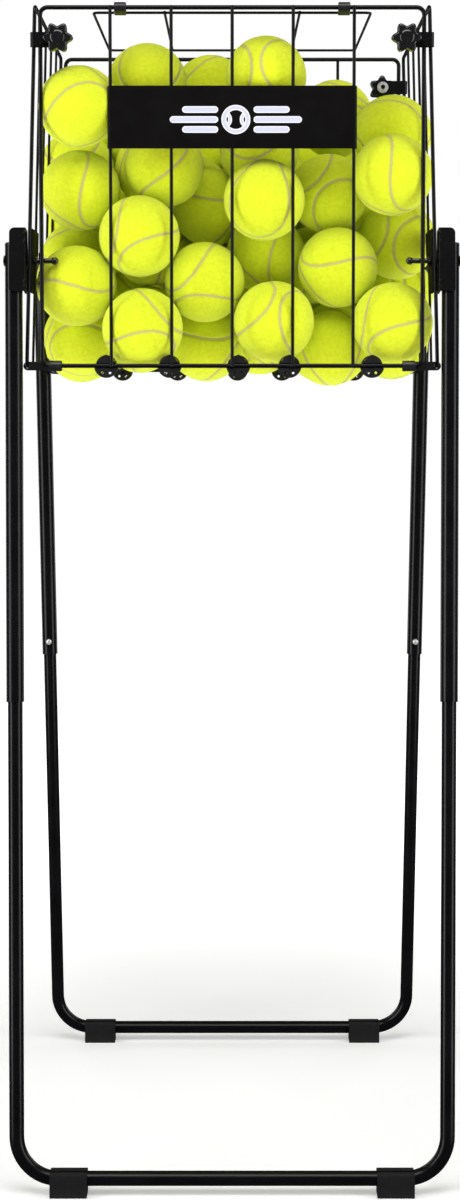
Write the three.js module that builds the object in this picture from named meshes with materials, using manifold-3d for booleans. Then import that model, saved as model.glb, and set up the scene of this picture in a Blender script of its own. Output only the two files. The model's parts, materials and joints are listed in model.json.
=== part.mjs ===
// A tennis ball hopper: a wire basket with a hinged wire lid and a floor of spinning, sliding rods,
// carried by two U-shaped leg frames that swing half a turn about the basket's sides to become handles.
// Millimetres, +X right, -Y front, +Z up. The origin is on the floor, under the centre of the basket.
import * as THREE from 'three';
import { mergeVertices } from 'three/addons/utils/BufferGeometryUtils.js';
import Module from 'manifold-3d';

const wasm = await Module();
wasm.setup();

// ---------------------------------------------------------------- driving dimensions
const CLEARANCE = 0.3;            // between two separate pieces that run on or rest against each other
const OVERLAP = 0.3;              // weld penetration where wires and plates of one piece join

const HOOP = { halfWidth: 156, y: 130, bottom: 669, top: 959, wire: 1.8, corner: 6 };
const UPRIGHT = { wire: 1.4, spacing: 49.5, count: 5 };          // wires of the front and back panels
const SIDE = { bottomX: 168.5, topX: 160.2, top: 960, edgeWire: 1.6, wire: 1.15, inner: 4, corner: 5 };
const SIGN = { bottom: 845, height: 50.5, thickness: 0.8 };
const LID = { halfWidth: 113, reach: 226, wire: 1.1, ribs: [-55, 0, 55], corner: 5, raised: 1.8 };
const LID_WIRE = { y: 4.6, z: -3.7 };                            // near lid wire, from the hinge axis
const LID_CLIP = { x: 91, width: 9.6, barGrip: 4.1, wireGrip: 2.1 };
const CORNER = { knobX: 141, z: 933, strapHeight: 11.6, strapThickness: 1 };
const KNOB = { radius: 12, lobeDepth: 3.4, lobes: 6, thickness: 11, hub: 6.5, hubLength: 2.9, stud: 2 };
const RODS = { radius: 2.5, x: [-103.5, -51.5, 5, 47, 115] };    // where the five floor rods stand
const CAP = { radius: 9.8, peak: 9.8, front: -1.2, back: 4.6, boss: 4.3, bossEnd: 12, rodEnd: 5.5 };
const BOTTOM_CLIP = { from: 139.6, to: 150.4, radius: 4.4, lugFront: 5.4, lugBack: 9.4, lugHeight: 7.2 };

const PIVOT = { y: 124, z: 755, bolt: 2 };
const LEG = { splay: THREE.MathUtils.degToRad(6.09), halfWidth: 179.4, barHalfWidth: 174.4 };
const UPPER = { radius: 7.25, wall: 0.9, top: 13, bottom: -360.5 };
const LOWER = { radius: 6, wall: 1, top: -300, bend: 34, barHeight: 13.6 };
const BUTTON = { z: -348, radius: 2.8, hole: 3.1, head: 3.7 };
const FOOT = { x: 132, length: 30, soleHalf: 8.2, half: 8.9, lip: 6 };
const BRACKET = { height: 52, thickness: 1.6, inner: 168.9, outer: 182.4, corner: 4 };

const BAR_DEPTH = -(PIVOT.z - LOWER.barHeight) / Math.cos(LEG.splay);   // cross bar, along the leg
const LEG_TAPER = (LEG.barHalfWidth - LEG.halfWidth) / BAR_DEPTH;       // inward lean per mm of leg
const SIDE_LEAN = Math.atan((SIDE.bottomX - SIDE.topX) / (SIDE.top - HOOP.bottom));

// ---------------------------------------------------------------- finishes
const FINISHES = {
  powder_coat: { color: 0x17171a, roughness: 0.42, metalness: 0.3 },
  black_plastic: { color: 0x141416, roughness: 0.35, metalness: 0 },
  rubber: { color: 0x232326, roughness: 0.8, metalness: 0 },
  black_sheet: { color: 0x0f0f11, roughness: 0.3, metalness: 0.2 },
  bright_steel: { color: 0xb9bbbe, roughness: 0.25, metalness: 1 },
  black_steel: { color: 0x1b1b1e, roughness: 0.35, metalness: 0.7 },
};

function piece(parent, name, geometry, finish) {
  const mesh = new THREE.Mesh(geometry, new THREE.MeshStandardMaterial(FINISHES[finish]));
  mesh.name = name;
  parent.add(mesh);
  return mesh;
}

// ---------------------------------------------------------------- joining and cutting
function solid(geometry) {
  const bare = geometry.clone();
  bare.deleteAttribute('normal');
  bare.deleteAttribute('uv');
  const merged = mergeVertices(bare, 1e-4);
  const vertProperties = new Float32Array(merged.attributes.position.array);
  const triVerts = new Uint32Array(merged.index.array);
  return new wasm.Manifold(new wasm.Mesh({ numProp: 3, vertProperties, triVerts }));
}

function geometryOf(manifold) {
  const mesh = manifold.getMesh();
  const geometry = new THREE.BufferGeometry();
  geometry.setAttribute('position', new THREE.BufferAttribute(new Float32Array(mesh.vertProperties), 3));
  geometry.setIndex(new THREE.BufferAttribute(new Uint32Array(mesh.triVerts), 1));
  geometry.computeVertexNormals();
  return geometry;
}

function join(geometries) {
  return geometryOf(geometries.map(solid).reduce((whole, part) => whole.add(part)));
}

function cut(geometry, tools) {
  return geometryOf(tools.map(solid).reduce((rest, tool) => rest.subtract(tool), solid(geometry)));
}

// ---------------------------------------------------------------- wires, tubes and plates
// A path whose cross-sections stand exactly on the given points.
class StationPath extends THREE.Curve {
  constructor(points, closed = false) {
    super();
    this.points = points;
    this.isLoop = closed;
    this.steps = closed ? points.length : points.length - 1;
  }

  station(index) {
    const count = this.points.length;
    return this.points[this.isLoop ? (index + count) % count : THREE.MathUtils.clamp(index, 0, count - 1)];
  }

  getPointAt(u, target = new THREE.Vector3()) {
    return target.copy(this.station(Math.round(u * this.steps)));
  }

  getTangentAt(u, target = new THREE.Vector3()) {
    const index = Math.round(u * this.steps);
    const here = this.station(index);
    const arriving = here.clone().sub(this.station(index - 1)).normalize();
    const leaving = this.station(index + 1).clone().sub(here).normalize();
    return target.copy(arriving).add(leaving).normalize();
  }
}

// The corners of a polyline, each one rounded with an arc of the given radius.
function rounded(corners, radius, steps, closed) {
  return corners.flatMap((corner, i) => {
    if (!closed && (i === 0 || i === corners.length - 1)) return [corner.clone()];
    const before = corners[(i + corners.length - 1) % corners.length].clone().sub(corner).normalize();
    const after = corners[(i + 1) % corners.length].clone().sub(corner).normalize();
    const halfAngle = before.angleTo(after) / 2;
    const bisector = before.clone().add(after).normalize();
    const centre = corner.clone().addScaledVector(bisector, radius / Math.sin(halfAngle));
    const start = corner.clone().addScaledVector(before, radius / Math.tan(halfAngle)).sub(centre);
    const sweep = Math.PI - 2 * halfAngle;
    const axis = before.clone().cross(after).normalize().negate();
    return Array.from({ length: steps + 1 }, (_, k) =>
      start.clone().applyAxisAngle(axis, (sweep * k) / steps).add(centre));
  });
}

function disc(radius, sides) {
  const turn = (k) => (2 * Math.PI * (k + 0.5)) / sides;
  return Array.from({ length: sides }, (_, k) =>
    new THREE.Vector2(radius * Math.cos(turn(k)), radius * Math.sin(turn(k))));
}

// A bar or, with a bore, a pipe along an open path.
function sweep(points, radius, sides, bore = 0) {
  const shape = new THREE.Shape(disc(radius, sides));
  if (bore) shape.holes.push(new THREE.Path(disc(bore, sides)));
  const path = new StationPath(points);
  return new THREE.ExtrudeGeometry(shape, { extrudePath: path, steps: path.steps, curveSegments: 1 });
}

// A wire bent into a closed loop.
function loop(corners, radius, sides, cornerRadius) {
  const path = new StationPath(rounded(corners, cornerRadius, 4, true), true);
  return new THREE.TubeGeometry(path, path.steps, radius, sides, true);
}

function bar(from, to, radius, sides) {
  const along = to.clone().sub(from);
  const geometry = new THREE.CylinderGeometry(radius, radius, along.length(), sides);
  geometry.applyQuaternion(new THREE.Quaternion().setFromUnitVectors(
    new THREE.Vector3(0, 1, 0), along.clone().normalize()));
  return geometry.translate(...from.clone().add(to).multiplyScalar(0.5).toArray());
}

function block(x0, x1, y0, y1, z0, z1) {
  return new THREE.BoxGeometry(x1 - x0, y1 - y0, z1 - z0)
    .translate((x0 + x1) / 2, (y0 + y1) / 2, (z0 + z1) / 2);
}

// Outlines drawn in a plane, with their thickness along X, Y or Z.
function plateAlongZ(shape, z0, z1, curveSegments = 8) {
  return new THREE.ExtrudeGeometry(shape, { depth: z1 - z0, bevelEnabled: false, curveSegments })
    .translate(0, 0, z0);
}

function plateAlongY(shape, y0, y1, curveSegments = 8) {      // outline in X and Z
  return plateAlongZ(shape, -y1, -y0, curveSegments).rotateX(Math.PI / 2);
}

function plateAlongX(shape, x0, x1, curveSegments = 8) {      // outline in Y and Z
  return plateAlongZ(shape, x0, x1, curveSegments).rotateX(Math.PI / 2).rotateZ(Math.PI / 2);
}

function turnedAboutY(profile, sides) {
  return new THREE.LatheGeometry(profile.map(([r, y]) => new THREE.Vector2(r, y)), sides);
}

const at = (x, y, z) => new THREE.Vector3(x, y, z);

// ---------------------------------------------------------------- basket
// A rectangular hoop with upright wires welded on its outer face; outward is -1 at the front, 1 at the back.
function hoopPanel(outward) {
  const y = outward * HOOP.y;
  const corners = [
    at(-HOOP.halfWidth, y, HOOP.bottom), at(HOOP.halfWidth, y, HOOP.bottom),
    at(HOOP.halfWidth, y, HOOP.top), at(-HOOP.halfWidth, y, HOOP.top),
  ];
  const wireY = y + outward * (HOOP.wire + UPRIGHT.wire - OVERLAP);
  const uprights = Array.from({ length: UPRIGHT.count }, (_, i) => {
    const x = (i - (UPRIGHT.count - 1) / 2) * UPRIGHT.spacing;
    return bar(at(x, wireY, HOOP.bottom - 1.2), at(x, wireY, HOOP.top + 1.2), UPRIGHT.wire, 8);
  });
  return join([loop(corners, HOOP.wire, 10, HOOP.corner), ...uprights]);
}

// The plate welded inside a side panel, between its edge wire and the next one, that the leg turns on.
function pivotPlate(towards) {
  const pitch = (2 * HOOP.y) / (SIDE.inner + 1);
  const half = BRACKET.height / 2;
  const height = (PIVOT.z - HOOP.bottom) / Math.cos(SIDE_LEAN);
  const edge = HOOP.y + 0.8;
  const outline = new THREE.Shape([
    new THREE.Vector2(towards * edge, height - half),
    new THREE.Vector2(towards * edge, height + half - 2),
    new THREE.Vector2(towards * (edge - 2), height + half),
    new THREE.Vector2(towards * (HOOP.y - pitch - 0.8), height + half),
    new THREE.Vector2(towards * (HOOP.y - pitch - 0.8), height + 9),
    new THREE.Vector2(towards * (HOOP.y - pitch / 2), height - half),
  ]);
  const face = -(SIDE.wire - OVERLAP);
  const plate = plateAlongX(outline, face - BRACKET.thickness, face);
  const hole = bar(at(-10, towards * PIVOT.y, height), at(10, towards * PIVOT.y, height),
    PIVOT.bolt + CLEARANCE, 10);
  return cut(plate, [hole]);
}

// One side of the basket, upright in its own plane: a wire loop, four inner wires and two pivot plates.
function sidePanel() {
  const height = (SIDE.top - HOOP.bottom) / Math.cos(SIDE_LEAN);
  const corners = [at(0, -HOOP.y, 0), at(0, HOOP.y, 0), at(0, HOOP.y, height), at(0, -HOOP.y, height)];
  const pitch = (2 * HOOP.y) / (SIDE.inner + 1);
  const wires = Array.from({ length: SIDE.inner }, (_, i) => {
    const y = (i + 1) * pitch - HOOP.y;
    return bar(at(0, y, 0), at(0, y, height), SIDE.wire, 8);
  });
  return join([loop(corners, SIDE.edgeWire, 8, SIDE.corner), ...wires, pivotPlate(-1), pivotPlate(1)]);
}

// A thin plate in front of the wires whose ends curl round the outermost ones.
function signPlate() {
  const x = 2 * UPRIGHT.spacing;
  const wireY = -HOOP.y - HOOP.wire - UPRIGHT.wire + OVERLAP;
  const inside = UPRIGHT.wire + CLEARANCE;
  const outside = inside + SIGN.thickness;
  const curlEnd = THREE.MathUtils.degToRad(110);
  const outline = new THREE.Shape();
  outline.moveTo(-x, wireY - outside);
  outline.absarc(x, wireY, outside, -Math.PI / 2, curlEnd, false);
  outline.absarc(x, wireY, inside, curlEnd, -Math.PI / 2, true);
  outline.absarc(-x, wireY, inside, -Math.PI / 2, -Math.PI - curlEnd, true);
  outline.absarc(-x, wireY, outside, -Math.PI - curlEnd, -Math.PI / 2, false);
  return join([plateAlongZ(outline, SIGN.bottom, SIGN.bottom + SIGN.height, 6)]);
}

// A folded strap that holds the hoop and the side panel's edge wire together, with its nut, at mid-height 0.
function cornerStrap() {
  const half = CORNER.strapHeight / 2;
  const sideX = SIDE.bottomX - (CORNER.z - HOOP.bottom) * Math.tan(SIDE_LEAN);
  const wide = HOOP.wire + CLEARANCE;
  const closed = 0.4;
  const t = CORNER.strapThickness;
  const endX = CORNER.knobX - 6.5;
  const outline = new THREE.Shape();
  outline.moveTo(endX, -closed - t);
  outline.lineTo(CORNER.knobX + 6, -closed - t);
  outline.lineTo(CORNER.knobX + 10, -wide - t);
  outline.absarc(sideX, 0, wide + t, -Math.PI / 2, Math.PI / 2, false);
  outline.lineTo(CORNER.knobX + 10, wide + t);
  outline.lineTo(CORNER.knobX + 6, closed + t);
  outline.lineTo(endX, closed + t);
  outline.lineTo(endX, closed);
  outline.lineTo(CORNER.knobX + 6.5, closed);
  outline.lineTo(CORNER.knobX + 10.5, wide);
  outline.absarc(sideX, 0, wide, Math.PI / 2, -Math.PI / 2, true);
  outline.lineTo(CORNER.knobX + 10.5, -wide);
  outline.lineTo(CORNER.knobX + 6.5, -closed);
  outline.lineTo(endX, -closed);
  const nut = bar(at(CORNER.knobX, closed + t - OVERLAP, 0), at(CORNER.knobX, closed + t + 3.2, 0), 4.6, 6);
  const hole = bar(at(CORNER.knobX, -9, 0), at(CORNER.knobX, 9, 0), KNOB.stud + CLEARANCE, 10);
  const strap = join([plateAlongZ(outline, -half, half, 6), nut]);
  return cut(strap, [hole]).translate(0, -HOOP.y, 0);
}

// A star knob with its moulded-in stud, its axis along Y.
function starKnob() {
  const points = 30;
  const outline = new THREE.Shape(Array.from({ length: points }, (_, k) => {
    const turn = (2 * Math.PI * k) / points;
    const r = KNOB.radius - (KNOB.lobeDepth / 2) * (1 - Math.cos(KNOB.lobes * turn)) - 1.5;
    return new THREE.Vector2(r * Math.cos(turn), r * Math.sin(turn));
  }));
  const face = 0.4 + CORNER.strapThickness + CLEARANCE;
  const bodyStart = face + KNOB.hubLength;
  const head = new THREE.ExtrudeGeometry(outline, {
    depth: KNOB.thickness - 3, bevelThickness: 1.5, bevelSize: 1.5, bevelSegments: 1,
  }).rotateX(Math.PI / 2).translate(0, -bodyStart - 1.5, 0);
  const hub = bar(at(0, -face, 0), at(0, -bodyStart - 1, 0), KNOB.hub, 10);
  const stud = bar(at(0, -bodyStart, 0), at(0, 6.5, 0), KNOB.stud, 8);
  return join([head, hub, stud]).translate(0, -HOOP.y, 0);
}

// A moulded clip that ties the hoop's lower bar to the side panel's lower rail, at mid-height 0.
function bottomClip() {
  const { from, to, radius, lugFront, lugBack, lugHeight } = BOTTOM_CLIP;
  const half = lugHeight / 2;
  const sleeve = bar(at(from, 0, 0), at(to, 0, 0), radius, 12);
  const web = block(from + 1.4, to, 0, lugBack, -half, half);
  const outline = new THREE.Shape();
  outline.moveTo(from + 1.4, -half);
  outline.absarc(SIDE.bottomX, 0, half, -Math.PI / 2, Math.PI / 2, false);
  outline.lineTo(from + 1.4, half);
  const lug = plateAlongY(outline, lugFront, lugBack, 6);
  const bore = bar(at(from - 5, 0, 0), at(to + 5, 0, 0), HOOP.wire + CLEARANCE, 10);
  const railHole = bar(at(SIDE.bottomX, 0, 0), at(SIDE.bottomX, 20, 0), SIDE.edgeWire + CLEARANCE, 10);
  return cut(join([sleeve, web, lug]), [bore, railHole]).translate(0, -HOOP.y, 0);
}

// The four corners are the front right one turned half a turn about Z, Y or X, since each corner
// piece is the same above and below its own mid-height.
const CORNERS = [
  { name: 'front_right', turn: [0, 0, 0] },
  { name: 'front_left', turn: [0, Math.PI, 0] },
  { name: 'rear_right', turn: [Math.PI, 0, 0] },
  { name: 'rear_left', turn: [0, 0, Math.PI] },
];

function cornerPieces(basket) {
  const strap = cornerStrap();
  const knob = starKnob();
  const clip = bottomClip();
  for (const { name, turn } of CORNERS) {
    const top = new THREE.Group();
    top.position.z = CORNER.z;
    top.rotation.set(...turn);
    piece(top, `corner_strap_${name}`, strap, 'black_steel');
    piece(top, `star_knob_${name}`, knob, 'black_plastic').position.x = CORNER.knobX;
    const bottom = new THREE.Group();
    bottom.position.z = HOOP.bottom;
    bottom.rotation.set(...turn);
    piece(bottom, `bottom_clip_${name}`, clip, 'black_plastic');
    basket.add(top, bottom);
  }
}

// ---------------------------------------------------------------- lid
function lidGrid() {
  const { y, z } = LID_WIRE;
  const far = y + LID.reach;
  const corners = [
    at(-LID.halfWidth, y, z), at(LID.halfWidth, y, z), at(LID.halfWidth, far, z), at(-LID.halfWidth, far, z),
  ];
  const ribs = LID.ribs.map((x) => bar(at(x, y, z), at(x, far, z), LID.wire, 8));
  return join([loop(corners, LID.wire, 8, LID.corner), ...ribs]);
}

// A clip that turns on the hoop's top bar and grips the lid's near wire.
function lidClip() {
  const { y, z } = LID_WIRE;
  const direction = Math.atan2(z, y);
  const spread = Math.acos((LID_CLIP.barGrip - LID_CLIP.wireGrip) / Math.hypot(y, z));
  const outline = new THREE.Shape();
  outline.absarc(0, 0, LID_CLIP.barGrip, direction + spread, direction - spread + 2 * Math.PI, false);
  outline.absarc(y, z, LID_CLIP.wireGrip, direction - spread, direction + spread, false);
  outline.holes.push(new THREE.Path(disc(HOOP.wire + CLEARANCE, 10)));
  outline.holes.push(new THREE.Path(disc(LID.wire + CLEARANCE, 8).map((p) => p.add(new THREE.Vector2(y, z)))));
  return join([plateAlongX(outline, -LID_CLIP.width / 2, LID_CLIP.width / 2, 7)]);
}

function lid() {
  const group = new THREE.Group();
  group.position.set(0, -HOOP.y, HOOP.top);
  group.rotation.x = THREE.MathUtils.degToRad(LID.raised);
  piece(group, 'lid', lidGrid(), 'powder_coat');
  const clip = lidClip();
  piece(group, 'lid_clip_left', clip, 'black_plastic').position.x = -LID_CLIP.x;
  piece(group, 'lid_clip_right', clip, 'black_plastic').position.x = LID_CLIP.x;
  return group;
}

// ---------------------------------------------------------------- floor rods
// An end cap that saddles the hoop's lower bar from inside and carries a rod's end in its boss.
function rodCap() {
  const outline = new THREE.Shape();
  outline.absarc(0, 0, CAP.radius, Math.PI, 2 * Math.PI, false);
  outline.lineTo(3, CAP.peak - 1.6);
  outline.quadraticCurveTo(0, CAP.peak + 1.6, -3, CAP.peak - 1.6);
  const saddle = plateAlongY(outline, CAP.front, CAP.back, 5);
  const boss = bar(at(0, CAP.back - OVERLAP, 0), at(0, CAP.bossEnd, 0), CAP.boss, 10);
  const grip = HOOP.wire + CLEARANCE;
  const channel = block(-20, 20, CAP.front - 1, grip, -grip, grip);
  const socket = bar(at(0, CAP.rodEnd - CLEARANCE, 0), at(0, CAP.bossEnd + 1, 0), RODS.radius + CLEARANCE, 10);
  return cut(join([saddle, boss]), [channel, socket]);
}

function floorRods() {
  const group = new THREE.Group();
  group.position.z = HOOP.bottom;
  const cap = rodCap();
  const reach = HOOP.y - CAP.rodEnd;
  RODS.x.forEach((x, i) => {
    piece(group, `roller_rod_${i + 1}`, bar(at(x, -reach, 0), at(x, reach, 0), RODS.radius, 10), 'powder_coat');
    piece(group, `roller_cap_front_${i + 1}`, cap, 'black_plastic').position.set(x, -HOOP.y, 0);
    const rear = piece(group, `roller_cap_rear_${i + 1}`, cap, 'black_plastic');
    rear.position.set(x, HOOP.y, 0);
    rear.rotation.z = Math.PI;
  });
  return group;
}

// ---------------------------------------------------------------- leg frames
// Legs are drawn with the pivot axis at 0, hanging straight down; x is taken along the leg's lean.
const legX = (z) => LEG.halfWidth + LEG_TAPER * z;

function upperTube(side) {
  const pipe = sweep([at(side * legX(UPPER.top), 0, UPPER.top), at(side * legX(UPPER.bottom), 0, UPPER.bottom)],
    UPPER.radius, 14, UPPER.radius - UPPER.wall);
  return cut(pipe, [pivotHole(), buttonHole(side)]);
}

function pivotHole() {
  return bar(at(-220, 0, 0), at(220, 0, 0), PIVOT.bolt + CLEARANCE, 10);
}

function buttonHole(side) {
  const x = side * legX(BUTTON.z);
  return bar(at(x, 0, BUTTON.z), at(x, 12, BUTTON.z), BUTTON.hole, 10);
}

function lowerPath() {
  const corners = [
    at(-legX(LOWER.top), 0, LOWER.top), at(-legX(BAR_DEPTH), 0, BAR_DEPTH),
    at(legX(BAR_DEPTH), 0, BAR_DEPTH), at(legX(LOWER.top), 0, LOWER.top),
  ];
  return rounded(corners, LOWER.bend, 5, false);
}

function lowerFrame() {
  const pipe = sweep(lowerPath(), LOWER.radius, 12, LOWER.radius - LOWER.wall);
  return cut(pipe, [buttonHole(-1), buttonHole(1)]);
}

// An L-shaped bracket: a plate in front of the tube and a flange beside it, with the pivot hole.
function legBracket() {
  const { inner, outer, thickness, corner } = BRACKET;
  const half = BRACKET.height / 2;
  const front = -UPPER.radius - CLEARANCE - thickness;
  const face = new THREE.Shape();
  face.moveTo(inner, -half);
  face.absarc(outer - corner, -half + corner, corner, -Math.PI / 2, 0, false);
  face.absarc(outer - corner, half - corner, corner, 0, Math.PI / 2, false);
  face.lineTo(inner, half);
  const plate = plateAlongY(face, front, front + thickness, 4);
  const flange = block(inner, inner + thickness, front, UPPER.radius + 1, -half, half);
  return cut(join([plate, flange]), [pivotHole()]);
}

// The pivot bolt, turned about X: domed head outside the tube, shoulder, clamp nut and cap nut.
function pivotBolt() {
  const head = LEG.halfWidth + UPPER.radius + CLEARANCE;
  const plateFace = SIDE.bottomX - (PIVOT.z - HOOP.bottom) * Math.tan(SIDE_LEAN) - SIDE.wire + OVERLAP;
  const nutFace = plateFace - BRACKET.thickness - CLEARANCE - 0.2;
  const r = PIVOT.bolt;
  const profile = [
    [0, 142.6], [1.9, 143.2], [3.2, 145.4], [3.2, 148.6], [r, 148.6],
    [r, nutFace - 2.8], [3.9, nutFace - 2.8], [3.9, nutFace], [r, nutFace],
    [r, plateFace + 0.4], [3.9, plateFace + 0.4], [3.9, BRACKET.inner - CLEARANCE], [r, BRACKET.inner - CLEARANCE],
    [r, head], [4.6, head], [3.6, head + 0.8], [0, head + 1.1],
  ];
  return join([turnedAboutY(profile, 10).rotateZ(-Math.PI / 2)]);
}

// A spring button's pin: its domed end stands out of both tubes, its collar stays inside them.
function snapButton() {
  const r = BUTTON.radius;
  const profile = [[0, 1], [BUTTON.head, 1], [BUTTON.head, 2.2], [r, 2.2], [r, 8.6], [1.9, 9.6], [0, 10]];
  return join([turnedAboutY(profile, 10)]);
}

// A rubber foot pushed on the cross bar from below, open on top, its sole level with the floor when the leg
// stands splayed.
function foot(x) {
  const { length, soleHalf, half, lip } = FOOT;
  const bottom = -LOWER.barHeight;
  const outline = new THREE.Shape([
    new THREE.Vector2(-soleHalf, bottom), new THREE.Vector2(soleHalf, bottom),
    new THREE.Vector2(half, bottom + 1), new THREE.Vector2(half, lip - 1),
    new THREE.Vector2(half - 1, lip), new THREE.Vector2(1 - half, lip),
    new THREE.Vector2(-half, lip - 1), new THREE.Vector2(-half, bottom + 1),
  ]);
  const body = plateAlongX(outline, x - length / 2, x + length / 2)
    .rotateX(LEG.splay).translate(0, 0, BAR_DEPTH);
  return cut(body, [sweep(lowerPath(), LOWER.radius + CLEARANCE, 12)]);
}

function legFrame(which) {
  const isRear = which === 'rear';
  const frame = new THREE.Group();
  const bolts = new THREE.Group();
  const button = snapButton();
  const bracket = legBracket();
  const bolt = pivotBolt();
  for (const side of [-1, 1]) {
    const label = `${which}_${(side < 0) !== isRear ? 'left' : 'right'}`;
    piece(frame, `upper_tube_${label}`, upperTube(side), 'powder_coat');
    piece(frame, `leg_bracket_${label}`, bracket, 'black_steel').rotation.y = side < 0 ? Math.PI : 0;
    piece(frame, `foot_${label}`, foot(side * FOOT.x), 'rubber');
    piece(frame, `snap_button_${label}`, button, 'bright_steel').position.set(
      side * legX(BUTTON.z), 0, BUTTON.z);
    piece(bolts, `pivot_bolt_${label}`, bolt, 'bright_steel').rotation.y = side < 0 ? Math.PI : 0;
  }
  piece(frame, `lower_frame_${which}`, lowerFrame(), 'powder_coat');
  frame.rotation.x = -LEG.splay;
  const pivot = new THREE.Group();
  pivot.position.set(0, -PIVOT.y, PIVOT.z);
  pivot.add(frame, bolts);
  const placed = new THREE.Group();
  placed.rotation.z = isRear ? Math.PI : 0;
  placed.add(pivot);
  return placed;
}

// ---------------------------------------------------------------- assembly
function basket() {
  const group = new THREE.Group();
  piece(group, 'front_panel', hoopPanel(-1), 'powder_coat');
  piece(group, 'back_panel', hoopPanel(1), 'powder_coat');
  const panel = sidePanel();
  for (const [name, turn] of [['side_panel_right', 0], ['side_panel_left', Math.PI]]) {
    const side = new THREE.Group();
    side.rotation.z = turn;
    const mesh = piece(side, name, panel, 'powder_coat');
    mesh.position.set(SIDE.bottomX, 0, HOOP.bottom);
    mesh.rotation.y = -SIDE_LEAN;
    group.add(side);
  }
  piece(group, 'sign_plate', signPlate(), 'black_sheet');
  cornerPieces(group);
  return group;
}

const hopper = new THREE.Group();
hopper.add(basket(), lid(), floorRods(), legFrame('front'), legFrame('rear'));
export default hopper;
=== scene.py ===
"""Looks for a tennis ball hopper: fine wires, tubes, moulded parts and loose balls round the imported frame.

Metres, in the CAD model's frame: +X to the right, -Y to the front, +Z up, the floor at Z = 0.
"""

import json
import random
from math import acos, asin, atan2, cos, degrees, hypot, pi, radians, sin, sqrt, tan

import bmesh
import bpy
import numpy as np
from mathutils import Matrix, Vector
from mathutils.geometry import tessellate_polygon


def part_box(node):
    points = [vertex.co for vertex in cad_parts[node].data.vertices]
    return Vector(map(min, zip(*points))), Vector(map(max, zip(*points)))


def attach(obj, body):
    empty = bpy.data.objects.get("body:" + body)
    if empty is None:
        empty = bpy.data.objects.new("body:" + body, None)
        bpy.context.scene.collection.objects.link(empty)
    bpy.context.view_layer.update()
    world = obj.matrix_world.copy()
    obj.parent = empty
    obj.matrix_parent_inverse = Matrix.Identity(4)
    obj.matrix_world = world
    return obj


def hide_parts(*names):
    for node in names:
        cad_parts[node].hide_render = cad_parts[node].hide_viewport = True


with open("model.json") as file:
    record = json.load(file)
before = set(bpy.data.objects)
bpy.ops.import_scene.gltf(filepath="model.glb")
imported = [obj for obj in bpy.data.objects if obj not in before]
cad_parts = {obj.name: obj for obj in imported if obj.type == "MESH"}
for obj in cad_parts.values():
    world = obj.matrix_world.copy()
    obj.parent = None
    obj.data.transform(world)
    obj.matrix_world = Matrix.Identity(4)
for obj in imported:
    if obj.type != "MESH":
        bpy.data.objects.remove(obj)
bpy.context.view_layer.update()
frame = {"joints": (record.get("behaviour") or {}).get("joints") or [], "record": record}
joints = {joint["name"]: joint for joint in frame["joints"]}
mounts = {mount["name"]: mount for mount in frame["record"]["mounts"]}
scene = bpy.context.scene

MM = 0.001
CORNERS = ("front_right", "front_left", "rear_right", "rear_left")
SIDES = {"right": 1, "left": -1}
PANELS = {"front_panel": -1, "back_panel": 1}  # which way along Y is outward
RODS = range(1, 6)


# ---------------- camera, light and floor
LENS, SENSOR = 62.4, 36.0  # millimetres
CAMERA_PLACE = Vector((0.0, -1.8441, 0.6416))
CAMERA_PITCH = radians(4.0)  # looking down
CAMERA_SHIFT = (-0.0018, -0.046)
CLIP_START, CLIP_END = 0.05, 50
WHITE = (1, 1, 1, 1)
ROOM_LIGHT = 0.05
FLOOR_RADIUS, FLOOR_SIDES = 14.0, 96
FLOOR_GLOW_RANGE, FLOOR_GLOW = (0.3, 1.1), (0.32, 1.0)
SCENE_MIDDLE = Vector((0, 0, 0.60))

# Name, degrees from the front to the right, height, distance, width and height of the light, radiance.
SOFTBOXES = (
    ("side_left", -62, 0.75, 2.1, (0.75, 2.2), 5.1),
    ("side_right", 62, 0.75, 2.1, (0.75, 2.2), 4.1),
    ("above", 0, 2.5, 1.3, (1.9, 1.3), 4.6),
    ("back_left", -140, 1.0, 2.2, (0.8, 1.8), 2.0),
    ("back_right", 140, 1.0, 2.2, (0.8, 1.8), 2.0),
)


def place_object(name, data):
    made = bpy.data.objects.new(name, data)
    scene.collection.objects.link(made)
    return made


def make_camera():
    data = bpy.data.cameras.new("camera")
    data.lens, data.sensor_width = LENS, SENSOR
    data.shift_x, data.shift_y = CAMERA_SHIFT
    data.clip_start, data.clip_end = CLIP_START, CLIP_END
    camera = place_object("camera", data)
    camera.location = CAMERA_PLACE
    camera.rotation_euler = (radians(90) - CAMERA_PITCH, 0, 0)
    scene.camera = camera


def softbox(name, azimuth, height, distance, size, radiance):
    """A soft light aimed at the object's middle."""
    data = bpy.data.lights.new(name, "AREA")
    data.shape = "RECTANGLE"
    data.size, data.size_y = size
    data.energy = radiance * pi * size[0] * size[1]
    light = place_object(name, data)
    turn = radians(azimuth)
    light.location = (distance * sin(turn), -distance * cos(turn), height)
    light.rotation_euler = (SCENE_MIDDLE - light.location).to_track_quat("-Z", "Y").to_euler()


def make_lights():
    """The softboxes, in a white room that lights dimly."""
    for values in SOFTBOXES:
        softbox(*values)
    world = bpy.data.worlds.new("studio")
    world.use_nodes = True
    nodes, links = world.node_tree.nodes, world.node_tree.links
    seen, lit = nodes["Background"], nodes.new("ShaderNodeBackground")
    for background in (seen, lit):
        background.inputs["Color"].default_value = WHITE
    lit.inputs["Strength"].default_value = ROOM_LIGHT
    path, mix = nodes.new("ShaderNodeLightPath"), nodes.new("ShaderNodeMixShader")
    links.new(path.outputs["Is Camera Ray"], mix.inputs["Fac"])
    links.new(lit.outputs["Background"], mix.inputs[1])
    links.new(seen.outputs["Background"], mix.inputs[2])
    links.new(mix.outputs["Shader"], nodes["World Output"].inputs["Surface"])
    scene.world = world
    scene.view_settings.view_transform = "Standard"


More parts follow.
